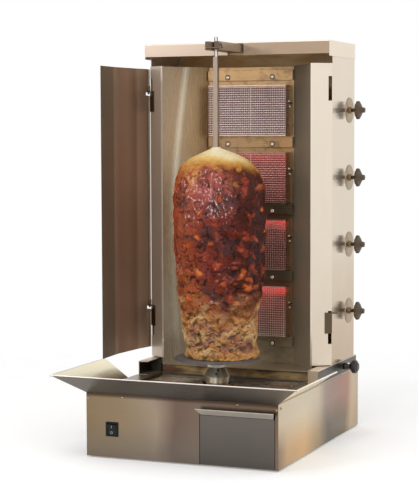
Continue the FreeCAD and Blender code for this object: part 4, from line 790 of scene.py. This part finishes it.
# Gas knobs: bronze-black moulded plastic with six scallops, a cone and a nub, and a pointer line.
KNOB_X = 0.282
KNOB_R = 0.0248
LOBES = 6
bakelite = Finish("knob_plastic", Specular_IOR_Level=0.35)
grime = bakelite.speckle(45.0, detail=4.0)
bakelite.drive("Base Color", bakelite.scaled(bakelite.mixed(grime, tone(52, 42, 30), tone(104, 86, 62)), 0.95))
bakelite.drive("Roughness", 0.26 + grime * 0.2)
bakelite.bump(bakelite.speckle(1400.0), 0.00004)
knob_profile = [(0.0, 0.0052), (0.0, 0.0205), (0.0006, 0.0232), (0.0018, 0.0246), (0.0045, KNOB_R),
                (0.0075, 0.0244), (0.0088, 0.0230), (0.0100, 0.0205), (0.0126, 0.0156), (0.0146, 0.0118),
                (0.0153, 0.0098), (0.0162, 0.0082), (0.0180, 0.0075), (0.0205, 0.0072), (0.0228, 0.0069),
                (0.0236, 0.0062), (0.0240, 0.0046), (0.0240, 0.0)]
for n in range(1, 5):
    low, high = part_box("gas_knob_%d" % n)
    middle = (low + high) / 2
    knob = bmesh.new()
    turned(knob, knob_profile, (KNOB_X, middle.y, middle.z), "x", 72)
    for v in knob.verts:
        spoke = Vector((0, v.co.y - middle.y, v.co.z - middle.z))
        angle = math.atan2(spoke.z, spoke.y)
        reach = spoke.length
        if reach > 0.0115:
            dent = max(0.0, math.cos(angle * LOBES)) ** 2
            share = min(1.0, (reach - 0.0115) / 0.009)
            spoke *= 1.0 - 0.135 * dent * share
            v.co.y, v.co.z = middle.y + spoke.y, middle.z + spoke.z
    shown("knob_body_%d" % n, knob, bakelite, "knob_%d" % n, ("gas_knob_%d" % n,), 40.0)
    line = bmesh.new()
    for side in (-1, 1):
        quad(line, (KNOB_X + 0.0035, middle.y - 0.0006, middle.z + 0.0252),
             (KNOB_X + 0.0035, middle.y + 0.0006, middle.z + 0.0252),
             (KNOB_X + 0.0070, middle.y + 0.0006, middle.z + 0.0250),
             (KNOB_X + 0.0070, middle.y - 0.0006, middle.z + 0.0250))
        break
    bmesh.ops.translate(line, vec=(0, 0, -0.0003), verts=line.verts)
    shown("knob_pointer_%d" % n, line, ink, "knob_%d" % n)

# Left door: one shallow folded sheet, brown-grey inside, hung on two bracket ears by hook pins.
door_steel = Finish("door_steel", Metallic=0.5)
door_rise = door_steel.along("Z") + (door_steel.speckle(4.0) - 0.5) * 0.3
door_tones = door_steel.ramp(door_rise.between(0.22, 1.0), [
    (0.0, tone(226, 206, 190)), (0.3, tone(206, 182, 160)), (0.65, tone(200, 172, 150)), (1.0, tone(182, 160, 140))])
door_colour = painted_light_by_side(door_steel, door_tones, tone(150, 136, 118), tone(120, 104, 88), tone(120, 104, 88),
                      tone(150, 134, 112), tone(90, 74, 58))
# Painted light and reflection: lighter and darker bands across the door, two of them bright lines.
door_run = (door_steel.along("Y") + (door_steel.speckle(6.0) - 0.5) * 0.01).between(-0.15, 0.122)
door_light_bands = door_steel.ramp(door_run, [
    (0.0, tone(150, 146, 134)), (0.3, tone(160, 154, 142)), (0.34, tone(220, 208, 198)), (0.45, tone(200, 180, 168)),
    (0.6, tone(210, 190, 174)), (0.74, tone(180, 160, 146)), (0.8, tone(220, 206, 194)), (0.96, tone(190, 176, 164)),
    (1.0, tone(120, 104, 92))])
door_colour = door_steel.mixed(0.9, door_colour, door_light_bands, "MULTIPLY")
brushed(door_steel, door_colour, "z", 0.36, 0.35)
formed("left_door", door_steel, 0.4, 3.0)
HINGE_AT = (-0.2715, 0.11675)
knuckle_steel = Finish("door_knuckle_steel", Metallic=0.7)
# Painted highlights and shade: streaks round the hinge knuckles, set by how far each side faces to the right and a
# little back.
knuckle_round = knuckle_steel.part(knuckle_steel.facing, "X") * 0.926 + knuckle_steel.part(knuckle_steel.facing, "Y") * 0.38
knuckle_highlights = knuckle_steel.ramp(knuckle_round * 0.5 + 0.5, [
    (0.0, tone(112, 98, 84)), (0.5, tone(120, 104, 90)), (0.64, tone(96, 82, 70)), (0.76, tone(255, 246, 232)),
    (0.9, tone(236, 222, 204)), (1.0, tone(170, 154, 136))])
brushed(knuckle_steel, knuckle_highlights, "z", 0.3, 0.4)
knuckles = bmesh.new()
for low, high in ((0.2285, 0.334), (0.348, 0.924), (0.938, 0.9965)):
    turned(knuckles, [(low, 0.0), (low, 0.0039), (low + 0.0006, 0.0044), (high - 0.0006, 0.0044), (high, 0.0039),
                      (high, 0.0)], (*HINGE_AT, 0), "z", 24)
shown("door_knuckles", knuckles, knuckle_steel, "door")
bracket_steel = Finish("bracket_steel", Metallic=1.0)
brushed(bracket_steel, tone(96, 82, 64), "z", 0.3)
formed("hinge_brackets", bracket_steel, 0.4)

# Clamp knob: a black mushroom head on a steel stud that locks the column in the right rail's slot.
clamp_black = Finish("clamp_plastic", Roughness=0.4)
clamp_black.drive("Base Color", clamp_black.scaled(tone(44, 40, 36), 0.8 + clamp_black.speckle(90.0) * 0.4))
clamp_black.bump(clamp_black.speckle(1800.0), 0.00005)
formed("clamp_knob", clamp_black, 0.6)

# Screws of the column: on the cap's sides and along the cover strips.
# Painted highlight and shade: the heads are near white, and the larger ones sit on dark washers whose colour stands
# for the shade round them.
highlit_dome_steel = Finish("highlit_domed_screw_steel", Metallic=0.6)
brushed(highlit_dome_steel, tone(255, 248, 236), "z", 0.2, 0.3)
washer_shade = Finish("screw_washer_shade", Metallic=0.5)
brushed(washer_shade, tone(84, 62, 46), "z", 0.5, 0.5)
heads, shade_washers = bmesh.new(), bmesh.new()
for middle, axis in heads_of("column_screws"):
    size = 1.5 if axis == "-y" else 0.9
    screw_head(heads, middle, axis, size)
    turned(shade_washers, [(0.0, 0.0078), (0.0005, 0.0076), (0.0006, 0.0052)], middle, axis, 24) if size > 1 else None
shown("column_screw_heads", heads, highlit_dome_steel, "column", ("column_screws",))
shown("column_screw_shade_washers", shade_washers, washer_shade, "column")

# Spit arm and latch: a box-section bar out of the cap, forked round the spit's tip, with a side lever
# whose bent rod closes the fork.
arm_steel = Finish("arm_steel", Metallic=0.8)
arm_colour = painted_light_by_side(arm_steel, tone(176, 158, 138), tone(96, 80, 66), tone(100, 83, 70), tone(110, 96, 80),
                     tone(150, 136, 116), tone(70, 58, 44))
brushed(arm_steel, arm_colour, "y", 0.3, 0.6)
formed("spit_arm", arm_steel, 0.5)
formed("spit_latch", arm_steel, 0.3)

# Spit: a square stainless bar with a round tip, painted with highlights down the tip, and the dished plate that the
# meat stands on, dark from use, with a painted highlight round its rim.
spit_steel = Finish("spit_steel")
spit_colour = painted_light_by_side(spit_steel, tone(176, 160, 142), tone(150, 134, 114), tone(166, 150, 134),
                      tone(150, 134, 114), tone(200, 186, 166), tone(110, 96, 80))
spit_tip = spit_steel.along("Z").between(1.016, 1.019)
tip_round = spit_steel.part(spit_steel.facing, "X") * 0.926 + spit_steel.part(spit_steel.facing, "Y") * 0.38
tip_highlights = spit_steel.ramp(tip_round * 0.5 + 0.5, [
    (0.0, tone(110, 96, 84)), (0.28, tone(170, 156, 142)), (0.42, tone(255, 250, 242)), (0.62, tone(255, 250, 242)),
    (0.76, tone(160, 146, 132)), (1.0, tone(100, 88, 78))])
brushed(spit_steel, spit_steel.mixed(spit_tip, spit_colour, tip_highlights), "z", 0.26, 0.8)
spit_steel.drive("Metallic", 0.9 - spit_tip * 0.5)
formed("spit_rod", spit_steel, 0.7)
dark_plate = Finish("meat_plate_steel", Metallic=0.5)
burnt = dark_plate.speckle(60.0, detail=5.0)
plate_rim_highlight = abs(dark_plate.part(dark_plate.facing, "Z")).between(0.75, 0.35)
dark_plate.drive("Base Color", dark_plate.mixed(plate_rim_highlight, dark_plate.mixed(burnt, tone(92, 92, 98), tone(120, 118, 122)),
                                                tone(255, 250, 242)))
dark_plate.drive("Roughness", 0.28 + burnt * 0.3)
dark_plate.bump(burnt, 0.0003)
formed("meat_plate", dark_plate, 0.4)

# Meat: slices stacked on the spit and roasted. The top is a smooth pale slab of fat, the middle is
# dark, wet and blistered, and the lower third is paler slices in layers with torn edges.
MEAT_LOW = 0.2376
MEAT_TALL = 0.5470
SPIT_AT = Vector((0.0, -0.05725))
LEAN = Vector((0.0083, 0.0034))
PROFILE = [(0.0, 90.0), (0.006, 91.5), (0.02, 92.3), (0.061, 94.0), (0.115, 96.0), (0.184, 98.5),
           (0.25, 105.0), (0.318, 110.0), (0.387, 113.5), (0.434, 115.7), (0.557, 118.5), (0.689, 118.8),
           (0.792, 117.3), (0.852, 111.8), (0.893, 102.5), (0.927, 88.5), (0.953, 67.5), (0.972, 43.0),
           (0.99, 18.0), (1.0, 8.0)]
LEVELS = 290
ROUND = 400
shares = np.array([p[0] for p in PROFILE])
reaches = np.array([p[1] for p in PROFILE]) / 1000
lengths = np.concatenate(([0.0], np.cumsum(np.hypot(np.diff(shares) * MEAT_TALL, np.diff(reaches)))))
walk = np.linspace(0, lengths[-1], LEVELS)
up_share = np.interp(walk, lengths, shares)
reach = np.interp(walk, lengths, reaches)
reach = np.convolve(np.pad(reach, 3, "edge"), np.ones(7) / 7, "valid")
slope_in = np.gradient(reach, walk)
slope_up = np.gradient(up_share * MEAT_TALL, walk)
turns = np.linspace(0, 2 * np.pi, ROUND, endpoint=False)
share_grid, turn_grid = np.meshgrid(up_share, turns, indexing="ij")
reach_grid = np.repeat(reach[:, None], ROUND, 1)
shift = np.interp(share_grid, [0, 0.3, 0.8, 1.0], [1.15, 1.0, 0.95, 0.0])
outward = np.stack([np.cos(turn_grid) * slope_up[:, None], np.sin(turn_grid) * slope_up[:, None],
                    np.repeat(-slope_in[:, None], ROUND, 1)], -1)
outward /= np.linalg.norm(outward, axis=-1, keepdims=True)
skin = np.stack([SPIT_AT.x + LEAN.x * shift + reach_grid * np.cos(turn_grid),
                 SPIT_AT.y + LEAN.y * shift + reach_grid * np.sin(turn_grid),
                 MEAT_LOW + share_grid * MEAT_TALL], -1)
flat_skin = skin.reshape(-1, 3)
share = share_grid.reshape(-1)


def ripple(points, scale, squeeze=1.0, octaves=1, offset=0.0):
    """Smooth noise from about -1 to 1 at each point, with so many waves a metre."""
    made = np.zeros(len(points))
    for i, p in enumerate(points):
        spot = Vector((p[0] * scale + offset, p[1] * scale, p[2] * scale * squeeze))
        made[i] = noise.fractal(spot, 0.7, 2.1, octaves) if octaves > 1 else noise.noise(spot)
    return made


def step_up(x, a, b):
    t = np.clip((x - a) / (b - a), 0, 1)
    return t * t * (3 - 2 * t)


wander = np.stack([ripple(flat_skin, 30, 1.2, 2, o) for o in (0.0, 9.1, 17.7)], -1)
swell = ripple(flat_skin, 10, 0.7, 1, 71.0)
humps = ripple(flat_skin, 34, 1.1, 1, 5.0)
knots = ripple(flat_skin, 72, 1.1, 2, 9.0)
pimples = ripple(flat_skin, 190, 1.2, 2, 2.0)
folds = np.abs(ripple(flat_skin + wander * 0.010, 26, 1.3, 2, 13.0))
wrinkles = np.abs(ripple(flat_skin + wander * 0.006, 64, 1.2, 2, 19.0))
burn = ripple(flat_skin + wander * 0.008, 15, 1.5, 2, 43.0)
chunks = ripple(flat_skin + wander * 0.010, 24, 1.5, 1, 83.0)
crumbs = ripple(flat_skin + wander * 0.006, 52, 1.5, 2, 97.0)
layers = np.abs(ripple(flat_skin + wander * 0.010, 22, 2.6, 2, 29.0))
across = (flat_skin[:, 0] - SPIT_AT.x) * 0.926 + (flat_skin[:, 1] - SPIT_AT.y) * 0.38
toward = (flat_skin[:, 0] - SPIT_AT.x) * 0.38 - (flat_skin[:, 1] - SPIT_AT.y) * 0.926

cooked = step_up(share + swell * 0.03, 0.95, 0.86)
edge_wave = ripple(flat_skin, 16, 1.0, 2, 61.0) * 0.07
sliced = step_up(share + edge_wave - 0.05 * step_up(-across, 0.03, 0.09), 0.29, 0.19)
seared = cooked * (1 - sliced)
chance = np.random.default_rng(5)
blobs = KDTree(150)
for n in range(150):
    angle, rise = chance.uniform(0, 2 * np.pi), chance.uniform(0.26, 0.88)
    r = np.interp(rise, shares, reaches)
    blobs.insert((SPIT_AT.x + LEAN.x + r * np.cos(angle), SPIT_AT.y + LEAN.y + r * np.sin(angle),
                  (MEAT_LOW + rise * MEAT_TALL) * 1.4), n)
blobs.balance()
blob_size = chance.uniform(0.005, 0.017, 150)
blob_heat = chance.random(150)
near = [blobs.find((p[0], p[1], p[2] * 1.4)) for p in flat_skin + wander * 0.008]
blob_of = np.array([found[1] for found in near])
blob = np.exp(-(np.array([found[2] for found in near]) / blob_size[blob_of]) ** 2)
amber = step_up(blob, 0.2, 0.75) * (blob_heat[blob_of] > 0.5)
fold_line = np.exp(-(folds / 0.07) ** 2)
wrinkle_line = np.exp(-(wrinkles / 0.09) ** 2)
layer_line = np.exp(-(layers / 0.045) ** 2)
rise_mm = (swell * 5.0 + cooked * humps * 6.0
           + seared * (knots * 1.8 - fold_line * 2.8 - wrinkle_line * 0.7 + blob * 3.8)
           + sliced * (chunks * 5.0 + crumbs * 3.2 - layer_line * 2.8 - wrinkle_line * 0.8)
           + (0.2 + 0.8 * cooked) * pimples * 0.35)
hem = step_up(share, 0.05, 0.0)
rise_mm += hem * (2.0 + 5.0 * ripple(flat_skin, 38, 1.0, 2, 51.0) + 6.0 * step_up(across, 0.0, 0.09))
rise_mm = np.clip(rise_mm, -9.0, 9.0) * np.interp(share, [0, 0.97, 1.0], [1.0, 0.6, 0.0])
rise_grid = rise_mm.reshape(LEVELS, ROUND)
# How far each spot stands above or sinks below its neighbours; it sets painted shade in the hollows and painted light
# on the rises.
around = sum(np.roll(np.pad(rise_grid, ((6, 6), (0, 0)), "edge")[6 + j:6 + j + LEVELS], k, 1)
             for j in range(-6, 7, 3) for k in range(-6, 7, 3)) / 25
shade_relief = (rise_grid - around).reshape(-1)
surface = skin + outward * (rise_grid[..., None] / 1000)
surface[..., 2] = np.maximum(surface[..., 2], MEAT_LOW + 0.0004)
from_axis = surface[..., :2] - np.array(SPIT_AT)
too_far = np.maximum(1.0, np.linalg.norm(from_axis, axis=-1, keepdims=True) / 0.131)
surface[..., :2] = np.array(SPIT_AT) + from_axis / too_far

zones = [(0.0, (196, 150, 98)), (0.1, (204, 162, 112)), (0.2, (186, 130, 78)), (0.27, (134, 60, 30)),
         (0.4, (108, 36, 22)), (0.7, (114, 36, 22)), (0.84, (128, 46, 26)), (0.87, (150, 74, 34)),
         (0.9, (196, 138, 62)), (0.935, (218, 178, 104)), (0.96, (228, 206, 154)), (1.0, (236, 222, 186))]
zone_at = np.clip(share + edge_wave * 0.4 + knots * 0.012 + swell * 0.03, 0, 1)
linear = np.array([tone(*c)[:3] for _, c in zones])
stops = [z for z, _ in zones]
roast = np.stack([np.interp(zone_at, stops, linear[:, k]) for k in range(3)], -1)


def stained(colour, mask):
    """Blends a screen colour into the roast where the mask is 1."""
    global roast
    roast = roast + (np.array(tone(*colour)[:3]) - roast) * np.clip(mask, 0, 1)[:, None]


# Painted light and shade: the left side of the roast is lighter and more orange, the right side dark as if in shadow.
stained((162, 78, 40), seared * step_up(-across, 0.01, 0.1) * 0.65)
stained((176, 104, 50), seared * step_up(-across, 0.0, 0.06) * step_up(share + burn * 0.1, 0.42, 0.26) * 0.8)
stained((52, 16, 8), seared * step_up(across, -0.01, 0.07) * 0.92)
stained((160, 62, 38), seared * step_up(humps + knots * 0.3, 0.05, 0.6) * 0.7)
# Painted highlight: a pinkish patch high on the middle, a little to the left.
stained((176, 92, 84), seared * np.exp(-((share - 0.8) / 0.08) ** 2 - ((across + 0.015) / 0.055) ** 2) * 0.75)
stained((112, 52, 52), seared * step_up(np.abs(across), 0.07, 0.03) * step_up(crumbs, -0.1, 0.4) * 0.6)
stained((206, 138, 62), step_up(share, 0.78, 0.86) * step_up(np.abs(across), 0.01, 0.07) * step_up(share, 0.95, 0.9) * step_up(chunks + knots * 0.4, 0.0, 0.4) * 0.75)
stained((182, 84, 38), seared * amber * 0.85)
stained((222, 140, 78), seared * step_up(blob, 0.6, 1.0) * (blob_heat[blob_of] > 0.7) * 0.7)
charred = seared * step_up(burn + 0.12 * step_up(across, -0.06, 0.04), 0.24, 0.62) * (1 - amber)
stained((52, 36, 38), charred * 0.7)
# Painted shade in the hollows, folds and wrinkles, and painted light on the rises.
stained((26, 10, 8), seared * step_up(shade_relief, -0.3, -2.4) * 0.8)
stained((184, 86, 52), seared * step_up(shade_relief, 0.8, 2.6) * 0.45)
stained((70, 38, 20), sliced * step_up(shade_relief, -0.2, -1.6) * 0.75)
stained((236, 200, 150), sliced * step_up(shade_relief, 0.5, 1.8) * 0.4)
stained((40, 14, 12), seared * np.clip(fold_line * 0.55 + wrinkle_line * 0.4, 0, 0.8))
stained((224, 184, 134), sliced * step_up(chunks, 0.08, 0.36) * 0.8)
stained((152, 106, 96), sliced * step_up(chunks, -0.1, -0.36) * 0.7)
stained((196, 122, 52), sliced * step_up(crumbs, 0.1, 0.4) * 0.6)
stained((120, 78, 52), sliced * step_up(crumbs, -0.12, -0.45) * 0.6)
stained((150, 74, 44), sliced * step_up(share + edge_wave, 0.1, 0.24) * step_up(burn, 0.0, 0.3) * 0.6)
# Painted shade in the cracks between the layers and in the wrinkles of the slices.
stained((48, 26, 16), sliced * np.clip(layer_line * 0.7 + wrinkle_line * 0.3, 0, 0.85))
stained((206, 146, 74), hem * 0.6)
stained((58, 30, 18), hem * step_up(pimples, 0.1, 0.5) * 0.6)

meat = bmesh.new()
grid = [[meat.verts.new(surface[j, k]) for k in range(ROUND)] for j in range(LEVELS)]
for j in range(LEVELS - 1):
    for k in range(ROUND):
        n = (k + 1) % ROUND
        meat.faces.new((grid[j][k], grid[j][n], grid[j + 1][n], grid[j + 1][k]))
for ring, z, turned_over in ((grid[0], MEAT_LOW + 0.0002, True), (grid[-1], MEAT_LOW + MEAT_TALL, False)):
    middle = meat.verts.new((SPIT_AT.x, SPIT_AT.y, z))
    for k in range(ROUND):
        pair = (ring[k], ring[(k + 1) % ROUND], middle)
        meat.faces.new(pair[::-1] if turned_over else pair)
roasted = Finish("roasted_meat", Coat_Roughness=0.12, Specular_IOR_Level=0.2, Specular_Tint=(1.0, 0.6, 0.5, 1.0))
tint = roasted.node("ShaderNodeAttribute", {"attribute_name": "roast"}, {}, 0)
wet = roasted.node("ShaderNodeAttribute", {"attribute_name": "wet"}, {}, 2)
grit = roasted.speckle(420.0, detail=4.0)
fibre = roasted.speckle(150.0, (1, 1, 1.3), 4.0)
glaze = roasted.speckle(105.0, (1.5, 1.5, 0.9), 3.0)
# Painted highlights: pale pink flecks in the colour where the meat is wet.
painted_glint = (glaze - 0.555 + (grit - 0.5) * 0.12 + (wet - 1.0) * 0.16).between(0.0, 0.12)
flesh = roasted.scaled(tint, 0.7 + grit * 0.3 + fibre * 0.4)
roasted.drive("Base Color", roasted.mixed(painted_glint * wet, flesh, tone(222, 178, 178)))
roasted.drive("Roughness", 0.62 - wet * 0.3 + (grit - 0.5) * 0.2)
roasted.drive("Coat Weight", wet * 0.25)
roasted.bump(grit * 0.35 + fibre + glaze * 0.8, 0.0022)
roast_piece = shown("roast_meat", meat, roasted, "spit", ("meat_cone",), 180.0)
ends = np.array([roast[:ROUND].mean(0), roast[-ROUND:].mean(0)])
colours = np.ones((LEVELS * ROUND + 2, 4))
colours[:, :3] = np.concatenate([roast, ends])
paint = roast_piece.data.color_attributes.new("roast", "FLOAT_COLOR", "POINT")
paint.data.foreach_set("color", colours.reshape(-1))
# Wetness, which also sets where the painted highlights go: glossier in waves, and most in one painted patch high on
# the middle.
gleam = ripple(flat_skin, 13, 0.9, 1, 111.0) * 0.8 + 1.3 * np.exp(-((share - 0.78) / 0.1) ** 2 - ((across + 0.02) / 0.06) ** 2)
gloss_and_glint = cooked * (1 - 0.85 * sliced) * np.clip(0.45 + gleam * 0.9, 0, 1) * (1 - 0.5 * fold_line) * (1 - 0.6 * amber)
gloss_and_glint *= 1 - 0.6 * step_up(across, 0.02, 0.08)
gloss_and_glint = np.concatenate([gloss_and_glint, [0.0, 0.2]])
roast_piece.data.attributes.new("wet", "FLOAT", "POINT").data.foreach_set("value", gloss_and_glint.astype(np.float32))

# Studio: a pale floor that fades into a white surround, and soft lamps above and at the right.
FLOOR_FADE = (1.1, 1.9)
FLOOR_LIFT = 0.2
floor_shape = bmesh.new()
bmesh.ops.create_grid(floor_shape, x_segments=8, y_segments=8, size=4.0)
floor_mesh = bpy.data.meshes.new("floor")
floor_shape.to_mesh(floor_mesh)
floor_shape.free()
floor = bpy.data.objects.new("floor", floor_mesh)
floor.location.z = -0.0005
bpy.context.scene.collection.objects.link(floor)
pale = Finish("pale_floor", Roughness=0.9, Emission_Strength=1.0)
pale.drive("Base Color", pale.scaled((0.97, 0.97, 0.968, 1.0), 0.99 + pale.speckle(3.0) * 0.02))
shown_rays = sum(pale.node("ShaderNodeLightPath", {}, {}, ray)
                 for ray in ("Is Camera Ray", "Is Glossy Ray", "Is Transmission Ray"))
pale.drive("Emission Color", pale.scaled((1, 1, 1, 1), shown_rays * FLOOR_LIFT))
floor_x, floor_y = pale.along("X"), pale.along("Y")
pale.drive("Alpha", 1.0 - ((floor_x * floor_x + floor_y * floor_y) ** 0.5).between(*FLOOR_FADE))
floor_mesh.materials.append(pale.material)

world = bpy.data.worlds.new("studio")
world.use_nodes = True
sky = world.node_tree
ray = sky.nodes.new("ShaderNodeLightPath")
seen = sky.nodes.new("ShaderNodeMath")
seen.operation = "MAXIMUM"
sky.links.new(ray.outputs["Is Camera Ray"], seen.inputs[0])
seen_too = sky.nodes.new("ShaderNodeMath")
seen_too.operation = "MAXIMUM"
sky.links.new(ray.outputs["Is Glossy Ray"], seen.inputs[1])
sky.links.new(seen.outputs[0], seen_too.inputs[0])
sky.links.new(ray.outputs["Is Transmission Ray"], seen_too.inputs[1])
strength = sky.nodes.new("ShaderNodeMapRange")
strength.inputs["To Min"].default_value = 0.72
strength.inputs["To Max"].default_value = 1.0
sky.links.new(seen_too.outputs[0], strength.inputs["Value"])
sky.links.new(strength.outputs[0], sky.nodes["Background"].inputs["Strength"])
sky.nodes["Background"].inputs["Color"].default_value = (1, 1, 1, 1)
bpy.context.scene.world = world


def lamp(name, at, towards, size, power):
    light = bpy.data.lights.new(name, "AREA")
    light.size = size
    light.energy = power
    made = bpy.data.objects.new(name, light)
    made.location = at
    made.rotation_mode = "QUATERNION"
    made.rotation_quaternion = (Vector(towards) - Vector(at)).to_track_quat("-Z", "Y")
    made.visible_camera = False
    bpy.context.scene.collection.objects.link(made)


lamp("lamp_right", (2.4, -1.2, 1.9), (0.1, 0.0, 0.5), 1.2, 9.0)
lamp("lamp_above", (-0.3, -1.0, 2.7), (0.0, 0.0, 0.3), 1.4, 10.0)
lamp("lamp_glint", (0.35, -2.7, 1.75), (0.0, -0.05, 0.55), 0.2, 7.0)
lamp("lamp_glint_left", (-1.5, -2.2, 1.5), (0.0, -0.05, 0.55), 0.2, 6.0)

bpy.context.scene.view_settings.view_transform = "Standard"
